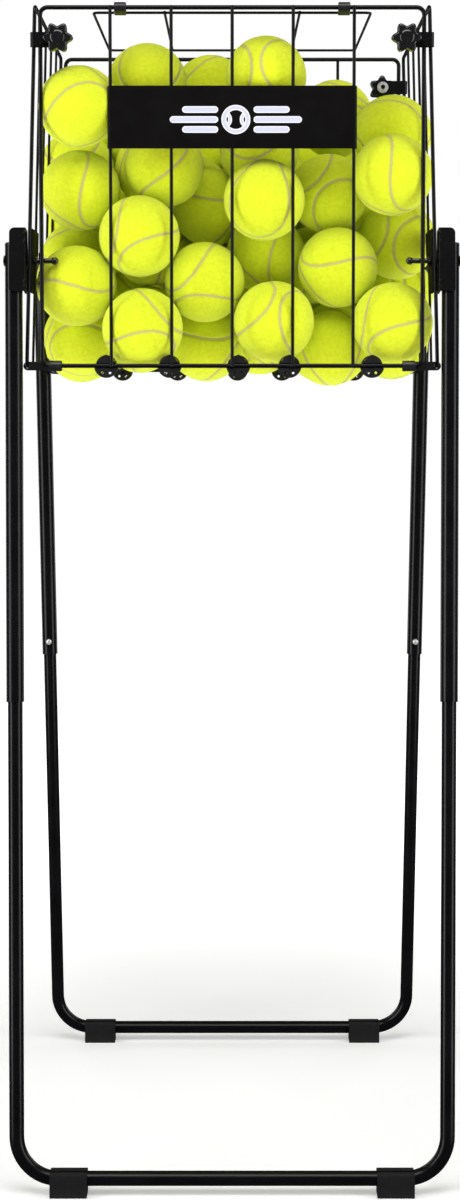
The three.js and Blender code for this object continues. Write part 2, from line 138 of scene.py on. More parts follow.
def make_floor():
    mesh = bpy.data.meshes.new("floor")
    rim = [(FLOOR_RADIUS * cos(a), FLOOR_RADIUS * sin(a), 0) for a in full_turn(FLOOR_SIDES)]
    mesh.from_pydata(rim, [], [tuple(range(FLOOR_SIDES))])
    mesh.materials.append(floor_paint())
    floor = place_object("floor", mesh)
    floor.visible_glossy = False  # its glow would grey the black paint


# ---------------- materials
NOISE_MIDST = (0.3, 0.7)  # where nearly all of a noise's values lie


class Surface:
    """A material built round one Principled shader; constants are set on the shader's own sockets."""

    def __init__(self, name, **constants):
        self.material = bpy.data.materials.new(name)
        self.material.use_nodes = True
        self.tree = self.material.node_tree
        self.shader = self.tree.nodes["Principled BSDF"]
        for label, value in constants.items():
            self.shader.inputs[label.replace("_", " ")].default_value = value
        self.place = self.node("ShaderNodeTexCoord", "Object")

    def node(self, kind, output, links=None, values=None, **settings):
        """Adds a node with its links, values and settings, and gives the output asked for."""
        made = self.tree.nodes.new(kind)
        for key, value in settings.items():
            setattr(made, key, value)
        for key, value in (values or {}).items():
            made.inputs[key].default_value = value
        for key, source in (links or {}).items():
            self.tree.links.new(source, made.inputs[key])
        return made.outputs[output]

    def noise(self, scale, detail=3.0, roughness=0.5, place=None):
        return self.node("ShaderNodeTexNoise", "Fac", {"Vector": place or self.place},
                         {"Scale": scale, "Detail": detail, "Roughness": roughness})

    def stretch(self, scale):
        return self.node("ShaderNodeMapping", "Vector", {"Vector": self.place}, {"Scale": scale})

    def remap(self, value, from_range, to_range=(0, 1)):
        return self.node("ShaderNodeMapRange", "Result", {"Value": value}, {
            "From Min": from_range[0], "From Max": from_range[1],
            "To Min": to_range[0], "To Max": to_range[1]})

    def math(self, operation, a, b=None):
        """One operation on sockets or plain numbers; some need only the first."""
        links, values = {}, {}
        for k, value in enumerate((a, b)):
            if value is not None:
                (values if isinstance(value, (int, float)) else links)[k] = value
        return self.node("ShaderNodeMath", "Value", links, values, operation=operation)

    def mix(self, amount, low, high):
        """A colour between two, each given as numbers or as a socket."""
        links, values = {"Factor": amount}, {}
        for label, value in (("A", low), ("B", high)):
            if isinstance(value, tuple):
                values[label] = (*value, 1)
            else:
                links[label] = value
        return self.node("ShaderNodeMix", "Result", links, values, data_type="RGBA")

    def bump(self, height, distance, strength=1.0, normal=None):
        links = {"Height": height}
        if normal is not None:
            links["Normal"] = normal
        return self.node("ShaderNodeBump", "Normal", links, {"Distance": distance, "Strength": strength})

    def drive(self, label, source):
        self.tree.links.new(source, self.shader.inputs[label])

    def colour(self, *mix):
        self.drive("Base Color", self.mix(*mix))

    def roughness(self, value, low, high):
        """Roughness between two amounts, by a noise."""
        self.drive("Roughness", self.remap(value, NOISE_MIDST, (low, high)))

    def grain(self, scale, depth, normal=None):
        """A fine unevenness, as deep as given, over a coarser one if there is any."""
        self.drive("Normal", self.bump(self.noise(scale, 2), depth, normal=normal))


def powder_coat():
    """Satin black powder coat: orange peel, faint cloudiness and a few rubbed, shinier stretches."""
    paint = Surface("powder_coat", Specular_IOR_Level=0.22, Coat_Weight=0.02, Coat_Roughness=0.15)
    cloud = paint.remap(paint.noise(38, 4), (0.35, 0.7))
    paint.colour(cloud, (0.0022, 0.0021, 0.0027), (0.0042, 0.0040, 0.0050))
    paint.roughness(paint.noise(16, 5, 0.6), 0.20, 0.30)
    paint.grain(420, 0.00003, paint.bump(paint.noise(1500, 2), 0.000012))
    return paint.material


def dull_coat():
    """The same black on the flat plates inside the panels, dusty and nearly without shine."""
    paint = Surface("dull_coat", Specular_IOR_Level=0.06)
    paint.colour(paint.noise(90, 5, 0.6), (0.0030, 0.0029, 0.0034), (0.0062, 0.0060, 0.0068))
    paint.roughness(paint.noise(60, 3), 0.82, 0.94)
    paint.grain(700, 0.00004)
    return paint.material


def strap_steel():
    """Black finished sheet: a faint rolled grain and small brighter rub marks."""
    paint = Surface("strap_steel", Specular_IOR_Level=0.18, Coat_Weight=0.02, Coat_Roughness=0.2)
    rolled = paint.noise(1.0, 3, 0.6, paint.stretch((260, 260, 700)))
    marks = paint.remap(paint.noise(260, 6, 0.7), (0.62, 0.74))
    base = paint.mix(paint.remap(rolled, NOISE_MIDST), (0.0022, 0.0021, 0.0023), (0.0036, 0.0034, 0.0037))
    paint.colour(marks, base, (0.020, 0.019, 0.018))
    paint.roughness(rolled, 0.30, 0.40)
    paint.grain(900, 0.00002)
    return paint.material


def black_sheet():
    """Flat black enamel on thin sheet, with a little dust and a very slight waviness."""
    paint = Surface("black_sheet", Specular_IOR_Level=0.13)
    dust = paint.remap(paint.noise(700, 6, 0.75), (0.62, 0.75))
    cloud = paint.mix(paint.noise(20, 3), (0.0020, 0.0015, 0.0015), (0.0034, 0.0027, 0.0027))
    paint.colour(dust, cloud, (0.018, 0.017, 0.017))
    paint.roughness(paint.noise(60, 4), 0.38, 0.52)
    paint.grain(1200, 0.00004, paint.bump(paint.noise(14, 1), 0.0006, 0.5))
    return paint.material


def knob_plastic():
    """Glossy black moulding compound with a trace of flow marks."""
    paint = Surface("knob_plastic", Specular_IOR_Level=0.55, Coat_Weight=0.3, Coat_Roughness=0.05)
    flow = paint.noise(70, 4, 0.6)
    paint.colour(flow, (0.0050, 0.0050, 0.0055), (0.0095, 0.0095, 0.0105))
    paint.roughness(flow, 0.12, 0.24)
    paint.drive("Normal", paint.bump(paint.noise(260, 3), 0.00005))
    return paint.material


def clip_plastic():
    """Satin black nylon with a fine moulded grain and paler scuffs."""
    paint = Surface("clip_plastic", Specular_IOR_Level=0.5)
    scuffs = paint.remap(paint.noise(330, 7, 0.72), (0.60, 0.74))
    cloud = paint.mix(paint.noise(90, 3), (0.0070, 0.0070, 0.0076), (0.0125, 0.0125, 0.0135))
    paint.colour(scuffs, cloud, (0.040, 0.040, 0.042))
    paint.roughness(paint.noise(150, 3), 0.27, 0.42)
    paint.grain(1900, 0.00005)
    return paint.material


def bright_steel():
    """Zinc-plated steel with slightly blotchy plating."""
    paint = Surface("bright_steel", Metallic=0.55)
    blotch = paint.noise(260, 4, 0.6)
    paint.colour(blotch, (0.62, 0.62, 0.62), (0.84, 0.83, 0.80))
    paint.roughness(blotch, 0.24, 0.40)
    paint.grain(2400, 0.00003)
    return paint.material


def foot_rubber():
    """Dark grey moulded rubber: a soft grain, dusty towards the sole."""
    paint = Surface("foot_rubber", Specular_IOR_Level=0.2)
    height = paint.node("ShaderNodeSeparateXYZ", "Z", {"Vector": paint.place})
    near_sole = paint.remap(height, (0.0, 0.010), (0.6, 0.05))
    dusty = paint.math("MULTIPLY", near_sole, paint.noise(500, 5, 0.65))
    grey = paint.mix(paint.noise(240, 4), (0.0070, 0.0070, 0.0082), (0.0120, 0.0120, 0.0138))
    paint.colour(dusty, grey, (0.036, 0.035, 0.034))
    paint.roughness(paint.noise(160, 3), 0.62, 0.82)
    paint.drive("Normal", paint.bump(paint.noise(1500, 3, 0.6), 0.00016))
    return paint.material


def printed_mark(name, ink_colour):
    """Screen-printed ink, a little uneven."""
    ink = Surface(name, Specular_IOR_Level=0.4)
    ink.colour(ink.noise(380, 5, 0.7), tuple(c * 0.93 for c in ink_colour), ink_colour)
    ink.roughness(ink.noise(900, 2), 0.42, 0.60)
    return ink.material


FELT_LIGHT, FELT_DARK, FELT_SPECK = (0.748, 0.855, 0.020), (0.640, 0.688, 0.006), (0.42, 0.55, 0.01)
SEAM_RUBBER = (0.62, 0.56, 0.17)
SEAM_ATTRIBUTE = "seam_mm"  # the mesh's own record of each point's distance to the seam
SEAM_EDGE = (0.85, 1.45)  # millimetres from its middle, where rubber gives way to felt


def felt():
    """Ball felt: matted fibres, a worn paler bloom and the smooth rubber seam."""
    cloth = Surface("felt", Specular_IOR_Level=0.12, Sheen_Weight=0.25, Sheen_Roughness=0.6,
                    Sheen_Tint=(0.95, 1.0, 0.55, 1))
    fibres = cloth.noise(1500, 5, 0.72)
    tufts = cloth.noise(330, 5, 0.68)
    seam = cloth.node("ShaderNodeAttribute", "Fac", attribute_name=SEAM_ATTRIBUTE)
    wander = cloth.math("MULTIPLY", cloth.math("SUBTRACT", cloth.noise(420, 4, 0.6), 0.5), 1.3)
    away = cloth.math("ABSOLUTE", cloth.math("ADD", seam, wander))
    on_felt = cloth.remap(away, SEAM_EDGE)
    shade = cloth.mix(cloth.remap(tufts, (0.22, 0.60)), FELT_DARK, FELT_LIGHT)
    speckle = cloth.mix(cloth.remap(fibres, (0.30, 0.48), (0.30, 0)), shade, FELT_SPECK)
    rubber = cloth.mix(cloth.noise(800, 4, 0.6), tuple(c * 0.8 for c in SEAM_RUBBER), SEAM_RUBBER)
    cloth.colour(on_felt, rubber, speckle)
    cloth.drive("Roughness", cloth.remap(on_felt, (0, 1), (0.62, 0.95)))
    groove = cloth.bump(cloth.remap(away, (0.8, 2.3)), 0.0007)
    matted = cloth.bump(tufts, 0.0010, 0.75, groove)
    cloth.drive("Normal", cloth.bump(fibres, 0.0005, 0.8, matted))
    return cloth.material


def floor_paint():
    """A pale floor that glows with distance, so that it meets the white room without a line."""
    paint = Surface("floor_paint", Specular_IOR_Level=0.1, Emission_Color=WHITE)
    paint.colour(paint.noise(3, 3), (0.90, 0.90, 0.90), (0.93, 0.93, 0.93))
    paint.roughness(paint.noise(40, 2), 0.75, 0.9)
    away = paint.node("ShaderNodeVectorMath", "Value", {"Vector": paint.place}, operation="LENGTH")
    paint.drive("Emission Strength", paint.remap(away, FLOOR_GLOW_RANGE, FLOOR_GLOW))
    return paint.material


# ---------------- shapes
def mm(*points, at=(0, 0)):
    """Points in metres, from points in millimetres counted from a place in metres."""
    return [(at[0] + a * MM, at[1] + b * MM) for a, b in points]


def sweep(angle, steps):
    """The angles from 0 to a given one, in equal steps."""
    return [angle * k / steps for k in range(steps + 1)]


def full_turn(sides):
    return sweep(2 * pi, sides)[:-1]


def rounded(corners, radius, steps=6, closed=True):
    """A polyline with each corner rounded by an arc."""
    corners = [Vector(corner) for corner in corners]
    path = []
    count = len(corners)
    for i, corner in enumerate(corners):
        if not closed and i in (0, count - 1):
            path.append(corner)
            continue
        back = (corners[i - 1] - corner).normalized()
        ahead = (corners[(i + 1) % count] - corner).normalized()
        half = back.angle(ahead) / 2
        centre = corner + (back + ahead).normalized() * (radius / sin(half))
        start = corner + back * (radius / tan(half)) - centre
        end = corner + ahead * (radius / tan(half)) - centre
        turn = pi - 2 * half
        for t in sweep(turn, steps):
            path.append(centre + (start * sin(turn - t) + end * sin(t)) / sin(turn))
    return path


def arc(centre, radius, start, end, steps):
    """Points of a flat arc between two angles in degrees."""
    angles = [radians(start + (end - start) * k / steps) for k in range(steps + 1)]
    return [Vector((centre[0] + radius * cos(a), centre[1] + radius * sin(a))) for a in angles]


def circle(centre, radius, sides=20):
    return arc(centre, radius, 0, 360, sides)[:-1]


def area_of(outline):
    return sum(a.x * b.y - b.x * a.y for a, b in zip(outline, outline[1:] + outline[:1])) / 2


def turned(outline, ccw):
    """The outline in the wanted sense, counter-clockwise or clockwise."""
    return outline if (area_of(outline) > 0) == ccw else outline[::-1]


def inset(outline, amount):
    """The outline moved by an amount towards the material on its left."""
    moved = []
    for i, point in enumerate(outline):
        a = (point - outline[i - 1]).normalized()
        b = (outline[(i + 1) % len(outline)] - point).normalized()
        mitre = Vector((-a.y - b.y, a.x + b.x))
        moved.append(point + mitre * (2 * amount / max(mitre.length_squared, 1.0)))
    return moved


def frames(points, closed):
    """For each point of a path, two directions across it that turn without twist, and the one along it."""
    count = len(points)
    tangents = []
    for i, point in enumerate(points):
        arriving = (point - points[i - 1]).normalized() if i or closed else Vector()
        leaving = (points[(i + 1) % count] - point).normalized() if i < count - 1 or closed else Vector()
        tangents.append((arriving + leaving).normalized())
    across = tangents[0].orthogonal().normalized()
    result = []
    for i, tangent in enumerate(tangents):
        if i:
            across = tangents[i - 1].rotation_difference(tangent) @ across
        result.append((across.copy(), tangent.cross(across), tangent))
    return result


def ring(centre, u, v, radius, sides):
    return [centre + (u * cos(a) + v * sin(a)) * radius for a in full_turn(sides)]


def band(first, second, sides):
    """The faces between two rings of points, given the number of each ring's first point."""
    steps = [(k, (k + 1) % sides) for k in range(sides)]
    return [(first + k, first + after, second + after, second + k) for k, after in steps]


class Shape:
    """The faces of one piece, gathered part by part."""

    def __init__(self):
        self.verts = []
        self.faces = []

    def add(self, verts, faces):
        first = len(self.verts)
        self.verts.extend(tuple(v) for v in verts)
        self.faces.extend(tuple(first + i for i in face) for face in faces)

    def skin(self, rings, closed=False):
        """Joins a row of equal rings of points; an open row gets an end face at each end."""
        count, sides = len(rings), len(rings[0])
        faces = []
        for i in range(count if closed else count - 1):
            faces.extend(band(i * sides, (i + 1) % count * sides, sides))
        if not closed:
            faces.append(tuple(range(sides))[::-1])
            faces.append(tuple(range((count - 1) * sides, count * sides)))
        self.add([point for points in rings for point in points], faces)

    def tube(self, points, radius, sides=16, closed=False, chamfer=0.25):
        """A round bar along a path; an open one has chamfered ends. chamfer is a share of the radius."""
        points = [Vector(p) for p in points]
        turns = frames(points, closed)
        rings = [ring(point, u, v, radius, sides) for point, (u, v, _) in zip(points, turns)]
        if not closed:
            cut = radius * chamfer
            for end, sign in ((0, 1), (-1, -1)):
                u, v, along = turns[end]
                tip = ring(points[end], u, v, radius - cut, sides)
                shoulder = ring(points[end] + along * cut * sign, u, v, radius, sides)
                if end == 0:
                    rings[0:1] = [tip, shoulder]
                else:
                    rings[-1:] = [shoulder, tip]
        self.skin(rings, closed)

    def lathe(self, profile, origin, axis, sides=32, closed=False, turn=0.0):
        """(radius, distance) points turned about an axis; a closed profile makes a ring."""
        origin, axis = Vector(origin), Vector(axis).normalized()
        u = axis.orthogonal().normalized()
        v = axis.cross(u)
        spin = Matrix.Rotation(turn, 3, axis)
        self.skin([ring(origin + axis * h, spin @ u, spin @ v, max(r, 0.01 * MM), sides)
                   for r, h in profile], closed)

    def bead(self, centre, half_sizes, sides=12):
        """An ellipsoid, such as a spot weld; its half sizes along X, Y and Z are in millimetres."""
        rx, ry, rz = (size * MM for size in half_sizes)
        self.skin([[Vector((centre[0] + rx * sin(a) * cos(t),
                            centre[1] + ry * sin(a) * sin(t),
                            centre[2] + rz * cos(a)))
                    for t in full_turn(sides)] for a in sweep(pi, 8)[1:-1]])

    def plate(self, outlines, place, low, high, chamfer=0.15 * MM):
        """An outline, with any holes after it, from low to high; place maps (u, v, w) to space."""
        loops = [turned([Vector(p) for p in outline], ccw=(k == 0)) for k, outline in enumerate(outlines)]
        levels = [(low, chamfer), (low + chamfer, 0), (high - chamfer, 0), (high, chamfer)]
        last = len(levels) - 1
        verts, faces, ends = [], [], [[], []]
        for outline in loops:
            first, sides = len(verts), len(outline)
            for w, amount in levels:
                verts.extend(place(p.x, p.y, w) for p in inset(outline, amount))
            for i in range(last):
                faces.extend(band(first + i * sides, first + (i + 1) * sides, sides))
            ends[0].extend(range(first, first + sides))
            ends[1].extend(range(first + last * sides, first + (last + 1) * sides))
        flat = [[Vector((p.x, p.y, 0)) for p in inset(outline, chamfer)] for outline in loops]
        for a, b, c in tessellate_polygon(flat):
            faces.append((ends[0][c], ends[0][b], ends[0][a]))
            faces.append((ends[1][a], ends[1][b], ends[1][c]))
        self.add(verts, faces)


def moved(shape, matrix):
    """A copy of a shape, placed by a matrix."""
    copy = Shape()
    copy.add([matrix @ Vector(v) for v in shape.verts], shape.faces)
    return copy


SHARP = radians(36)


def make(name, shape, finish, body, stands_for=()):
    """Turns a shape into a shown piece in its finish, riding on a body; the imported parts it stands for are
    hidden.
    """
    mesh = bpy.data.meshes.new(name)
    mesh.from_pydata(shape.verts, [], shape.faces)
    work = bmesh.new()
    work.from_mesh(mesh)
    bmesh.ops.recalc_face_normals(work, faces=work.faces)
    for face in work.faces:
        face.smooth = True
    for edge in work.edges:
        edge.smooth = edge.calc_face_angle(0) < SHARP
    work.to_mesh(mesh)
    work.free()
    mesh.materials.append(FINISH[finish])
    piece = place_object(name, mesh)
    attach(piece, body)
    if stands_for:
        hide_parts(*stands_for)


def from_middle(node):
    """How far a node's near and far faces stand from the plane that halves the hopper left and right."""
    low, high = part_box(node)
    return sorted((abs(low.x), abs(high.x)))


def middle_of(node):
    low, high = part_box(node)
    return (low + high) / 2


def joint_place(name):
    return Vector(joints[name]["pos_m"])


# ---------------- wire panels of the basket
HOOP_WIRE, UPRIGHT_WIRE = 1.8 * MM, 1.4 * MM  # radii, as for every wire, rod and tube below
HOOP_CORNER = 6 * MM
UPRIGHTS, UPRIGHT_PITCH = 5, 49.5 * MM
UPRIGHT_XS = [(i - (UPRIGHTS - 1) / 2) * UPRIGHT_PITCH for i in range(UPRIGHTS)]
UPRIGHT_OVERHANG = 1.2 * MM
# The weld where a hoop's ends meet: shares of the wire's radius, and millimetres along the wire.
BUTT_WELD = ((0.9, -2), (1.02, -1.2), (1.09, -0.4), (1.09, 0.4), (1.02, 1.2), (0.9, 2))
BUTT_WELD_AT = 0.35  # its place, as a share of the hoop's half width
SIDE_EDGE, SIDE_WIRE = 1.6 * MM, 1.15 * MM
SIDE_CORNER, SIDE_WIRES = 5 * MM, 4
SIDE_OVERHANG = 0.4 * MM
PLATE_THICK, PLATE_HALF, PLATE_EDGE = 1.6 * MM, 26 * MM, 0.6 * MM


class Hoop:
    """The middle lines of a hoop panel's wires."""

    def __init__(self, name):
        outward = PANELS[name]
        self.low, self.high = low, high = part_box(name)
        self.y = (low.y if outward > 0 else high.y) + outward * HOOP_WIRE
        self.wire_y = (high.y if outward > 0 else low.y) - outward * UPRIGHT_WIRE
        self.left, self.right = low.x + HOOP_WIRE, high.x - HOOP_WIRE
        self.bottom, self.top = low.z + HOOP_WIRE, high.z - HOOP_WIRE


def hoop_panel(name):
    """A rectangular hoop with five upright wires spot-welded on its outer face."""
    hoop = Hoop(name)
    corners = [(x, hoop.y, z) for x, z in ((hoop.left, hoop.bottom), (hoop.right, hoop.bottom),
                                           (hoop.right, hoop.top), (hoop.left, hoop.top))]
    shape = Shape()
    shape.tube(rounded(corners, HOOP_CORNER, 8), HOOP_WIRE, 20, closed=True)
    for x in UPRIGHT_XS:
        shape.tube([(x, hoop.wire_y, hoop.bottom - UPRIGHT_OVERHANG),
                    (x, hoop.wire_y, hoop.top + UPRIGHT_OVERHANG)], UPRIGHT_WIRE)
        for z in (hoop.bottom, hoop.top):
            shape.bead((x, (hoop.y + hoop.wire_y) / 2, z), (2.1, 1.0, 1.3))
    shape.lathe([(HOOP_WIRE * r, h * MM) for r, h in BUTT_WELD],
                (BUTT_WELD_AT * hoop.right, hoop.y, hoop.bottom), (1, 0, 0), 20)
    make(f"{name}_wires", shape, "powder_coat", "basket", [name])


def side_panel(label, sign):
    """The wires of one leaning side, and the two plates that the legs turn on."""
    name = f"side_panel_{label}"
    low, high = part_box(name)
    near_x, far_x = from_middle(name)
    bottom = Vector((sign * (far_x - SIDE_EDGE), 0, low.z + SIDE_EDGE))
    top = Vector((sign * (near_x + SIDE_EDGE), 0, high.z - SIDE_EDGE))
    up = (top - bottom).normalized()
    half_y = high.y - SIDE_EDGE
    height = (top - bottom).length
    inward = up.cross(Vector((0, sign, 0)))

    def spot(y, h, depth=0.0):
        """A point of the panel's own plane, depth measured into the basket."""
        return bottom + Vector((0, y, 0)) + up * h + inward * depth

    shape = Shape()
    corners = [spot(-half_y, 0), spot(half_y, 0), spot(half_y, height), spot(-half_y, height)]
    shape.tube(rounded(corners, SIDE_CORNER, 8), SIDE_EDGE, 18, closed=True)
    pitch = 2 * half_y / (SIDE_WIRES + 1)
    for i in range(SIDE_WIRES):
        y = (i + 1) * pitch - half_y
        shape.tube([spot(y, -SIDE_OVERHANG), spot(y, height + SIDE_OVERHANG)], SIDE_WIRE, 14)
        for h in (0, height):
            shape.bead(spot(y, h), (1.5, 2.3, 1.5))
    make(f"{name}_wires", shape, "powder_coat", "basket", [name])

    middle = (joint_place("front_legs_swing").z - bottom.z) / up.z
    face = SIDE_WIRE - 0.3 * MM
    near, far = half_y - pitch - PLATE_EDGE, half_y + PLATE_EDGE
    for end, where in ((-1, "front"), (1, "rear")):
        outline = [(end * y, middle + h) for y, h in (
            (far, -PLATE_HALF), (far, PLATE_HALF), (near, PLATE_HALF),
            (near, 9 * MM), (half_y - pitch / 2, -PLATE_HALF))]
        plate = Shape()
        plate.plate([rounded(outline, 2 * MM, 5)], spot, face, face + PLATE_THICK, 0.2 * MM)
        for h in (-20, -7, 7, 20):
            plate.bead(spot(end * (half_y - 0.3 * MM), middle + h * MM, SIDE_WIRE), (0.8, 1.0, 3.2))
        for h in (11, 20):
            plate.bead(spot(end * (half_y - pitch), middle + h * MM, SIDE_WIRE * 0.8), (0.8, 1.0, 2.8))
        make(f"pivot_plate_{where}_{label}", plate, "dull_coat", "basket")


# ---------------- sign plate
SHEET = 0.8 * MM
CURL_END = 110  # degrees round the wire, from straight ahead
MARK_INK, MARK_EDGE = (0.56, 0.57, 0.68), (0.85, 0.85, 0.88)
MARK_PLACE = (3 * MM, -2 * MM)  # from the plate's middle
MARK_BACK = -0.05 * MM
MARK_LAYERS = (("sign_mark_edge", 0.75 * MM, 0.06 * MM), ("sign_mark_fill", 0.0, 0.10 * MM))
RING_OUTER, RING_INNER = 11 * MM, 8.4 * MM
SEAM_OUTER, SEAM_INNER, SEAM_AWAY = 6.6 * MM, 5.0 * MM, 10.5 * MM
SEAM_HALF = 46  # degrees of arc to each side
BAR_HALF, BAR_RISE = 1.9 * MM, 8 * MM
BAR_START, BAR_LENGTHS = 17, {-1: 24, 0: 34, 1: 24}  # millimetres, row by row


def sign_plate():
    """A thin plate whose ends curl round the outer uprights, with a generic printed ball and bars."""
    low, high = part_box("sign_plate")
    outside = (high.x - low.x) / 2 - 2 * UPRIGHT_PITCH
    inside = outside - SHEET
    right, left = [(side * 2 * UPRIGHT_PITCH, low.y + outside) for side in (1, -1)]
    outline = arc(right, outside, -90, CURL_END, 18) + arc(right, inside, CURL_END, -90, 18)
    outline += arc(left, inside, -90, -180 - CURL_END, 18) + arc(left, outside, -180 - CURL_END, -90, 18)
    sheet = Shape()
    sheet.plate([outline], lambda u, v, w: (u, v, w), low.z, high.z, 0.12 * MM)
    make("sign_sheet", sheet, "black_sheet", "basket", ["sign_plate"])

    centre = Vector(((low.x + high.x) / 2 + MARK_PLACE[0], low.y, (low.z + high.z) / 2 + MARK_PLACE[1]))
    for name, grow, deep in MARK_LAYERS:
        mark = Shape()
        for outlines in mark_outlines(grow):
            mark.plate(outlines, lambda u, v, w: centre + Vector((u, -w, v)), MARK_BACK, deep, 0.01 * MM)
        make(name, mark, name, "basket")


def mark_outlines(grow):
    """A ring with a ball's two seams in it, and rounded bars that shorten away from it on both sides."""
    shapes = [[circle((0, 0), RING_OUTER + grow, 48), circle((0, 0), RING_INNER - grow, 40)]]
    for side in (0, 180):
        centre = (cos(radians(side)) * -SEAM_AWAY, 0)
        shapes.append([arc(centre, SEAM_OUTER + grow, side - SEAM_HALF, side + SEAM_HALF, 14)
                       + arc(centre, SEAM_INNER - grow, side + SEAM_HALF, side - SEAM_HALF, 14)])
    half = BAR_HALF + grow
    for side in (-1, 1):
        for row, length in BAR_LENGTHS.items():
            left, right = sorted((side * BAR_START * MM, side * (BAR_START + length) * MM))
            y = row * BAR_RISE
            shapes.append([arc((right, y), half, -90, 90, 10) + arc((left, y), half, 90, 270, 10)])
    return shapes


# ---------------- corner straps, knobs and clips
STRAP, STRAP_GAP = 1.0 * MM, 0.4 * MM  # sheet, and half the gap between the strap's two closed ends
KNOB_LOBES, KNOB_DIP, KNOB_EDGE = 6, 3.4 * MM, 2.2 * MM
KNOB_THICK, KNOB_HUB = 11 * MM, 6.5 * MM
KNOB_POINTS, KNOB_STEPS = 96, 6
# The rings of a knob's domed middle: radius, and drop from the top, in millimetres.
KNOB_DOME = ((6.1, 1.45), (5.9, 0.95), (5.4, 0.45), (4.4, 0.12), (3.0, 0.0), (1.6, 0.12), (0.5, 0.35))
KNOB_PHASES = {"rear_right": radians(30)}  # a knob that happens to have been left turned
THREAD, THREAD_CREST, THREAD_ROOT = 0.7 * MM, 1.95 * MM, 1.62 * MM
STUD_END = -6.4 * MM
SLEEVE, SLEEVE_EDGE = 10.8 * MM, 0.9 * MM
LUG_HALF, LUG_START, LUG_BACK = 3.6 * MM, 5.4 * MM, 9.4 * MM
PLAY = 0.25 * MM  # between a bore and the wire or rod in it


def corner(name):
    """Left or right, front or rear, as two signs."""
    return (1 if "right" in name else -1), (1 if "rear" in name else -1)


def corner_strap(name):
    """The folded strap round the hoop's side and the panel's edge, with its nut and washer."""
    sx, sy = corner(name)
    low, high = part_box(f"corner_strap_{name}")
    pivot = joint_place(f"knob_{name}_turn")
    inner = HOOP_WIRE + 0.3 * MM
    outer = inner + STRAP
    bend = (abs(low.x if sx < 0 else high.x) - inner - STRAP, 0)
    knob_x = abs(pivot.x)
    end_x = knob_x - 6.5 * MM
    outline = [(end_x, -STRAP_GAP - STRAP), (knob_x + 6 * MM, -STRAP_GAP - STRAP),
               (knob_x + 10 * MM, -outer)]
    outline += arc(bend, outer, -90, 90, 14)
    outline += [(knob_x + 10 * MM, outer), (knob_x + 6 * MM, STRAP_GAP + STRAP), (end_x, STRAP_GAP + STRAP),
                (end_x, STRAP_GAP), (knob_x + 6.5 * MM, STRAP_GAP), (knob_x + 10.5 * MM, inner)]
    outline += arc(bend, inner, 90, -90, 14)
    outline += [(knob_x + 10.5 * MM, -inner), (knob_x + 6.5 * MM, -STRAP_GAP), (end_x, -STRAP_GAP)]
    strap = Shape()
    strap.plate([outline], lambda u, v, w: (sx * u, pivot.y + v, w), low.z, high.z, 0.12 * MM)
    make(f"strap_{name}", strap, "strap_steel", "basket", [f"corner_strap_{name}"])

    inward = Vector((0, -sy, 0))
    face = pivot + inward * (STRAP_GAP + STRAP)
    washer = Shape()
    washer.lathe(mm((2.2, 0), (5.0, 0), (5.2, 0.2), (5.2, 0.6), (5.0, 0.8), (2.2, 0.8)),
                 face, inward, 36, closed=True)
    washer.lathe(mm((2.1, 0.8), (3.5, 0.8), (3.95, 1.15), (3.95, 2.7), (3.4, 3.15), (2.1, 3.15)),
                 face, inward, 6, closed=True, turn=0.3)
    make(f"strap_nut_{name}", washer, "bright_steel", "basket")


def star_knob(name):
    """A six-lobed knob with rounded edges, a domed middle, a hub and a threaded stud."""
    sx, sy = corner(name)
    low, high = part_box(f"star_knob_{name}")
    pivot = joint_place(f"knob_{name}_turn")
    out = Vector((0, sy, 0))
    reach = abs(high.y if sy > 0 else low.y) - abs(pivot.y)
    radius = (high.x - low.x) / 2
    base = reach - KNOB_THICK
    phase = KNOB_PHASES.get(name, 0.0)

    def outline(radius_at, lift):
        return [pivot + Vector((sx * radius_at(a) * cos(a), sy * lift, radius_at(a) * sin(a)))
                for a in full_turn(KNOB_POINTS)]

    def lobed(shrink, lift):
        """The star's outline, pulled in by shrink, at a height above the strap's middle."""
        return outline(lambda a: radius - KNOB_DIP * sin(KNOB_LOBES * (a - phase) / 2) ** 2 - shrink, lift)

    quarter = sweep(pi / 2, KNOB_STEPS)
    rim = reach - 1.3 * MM
    rings = [lobed(KNOB_EDGE * (1 - sin(a)), base + KNOB_EDGE * (1 - cos(a))) for a in quarter]
    rings += [lobed(KNOB_EDGE * (1 - cos(a)), rim - KNOB_EDGE * (1 - sin(a))) for a in quarter]
    rings += [outline(lambda a: size * MM, reach - drop * MM) for size, drop in KNOB_DOME]
    head = Shape()
    head.skin(rings)
    hub_end = STRAP_GAP + STRAP + 0.3 * MM
    head.lathe([*mm((-0.3, 0), (0, 0.3), at=(KNOB_HUB, hub_end)), (KNOB_HUB, base + 0.5 * MM)],
               pivot, out, 40)
    make(f"knob_head_{name}", head, "knob_plastic", f"knob_{name}", [f"star_knob_{name}"])

    stud = Shape()
    profile = [(1.3 * MM, STUD_END), (1.75 * MM, STUD_END + 0.4 * MM)]
    position = STUD_END + 0.5 * MM
    while position < hub_end:
        profile += [(THREAD_CREST, position), (THREAD_ROOT, position + THREAD / 2)]
        position += THREAD
    stud.lathe(profile, pivot, out, 24)
    make(f"knob_stud_{name}", stud, "strap_steel", f"knob_{name}")


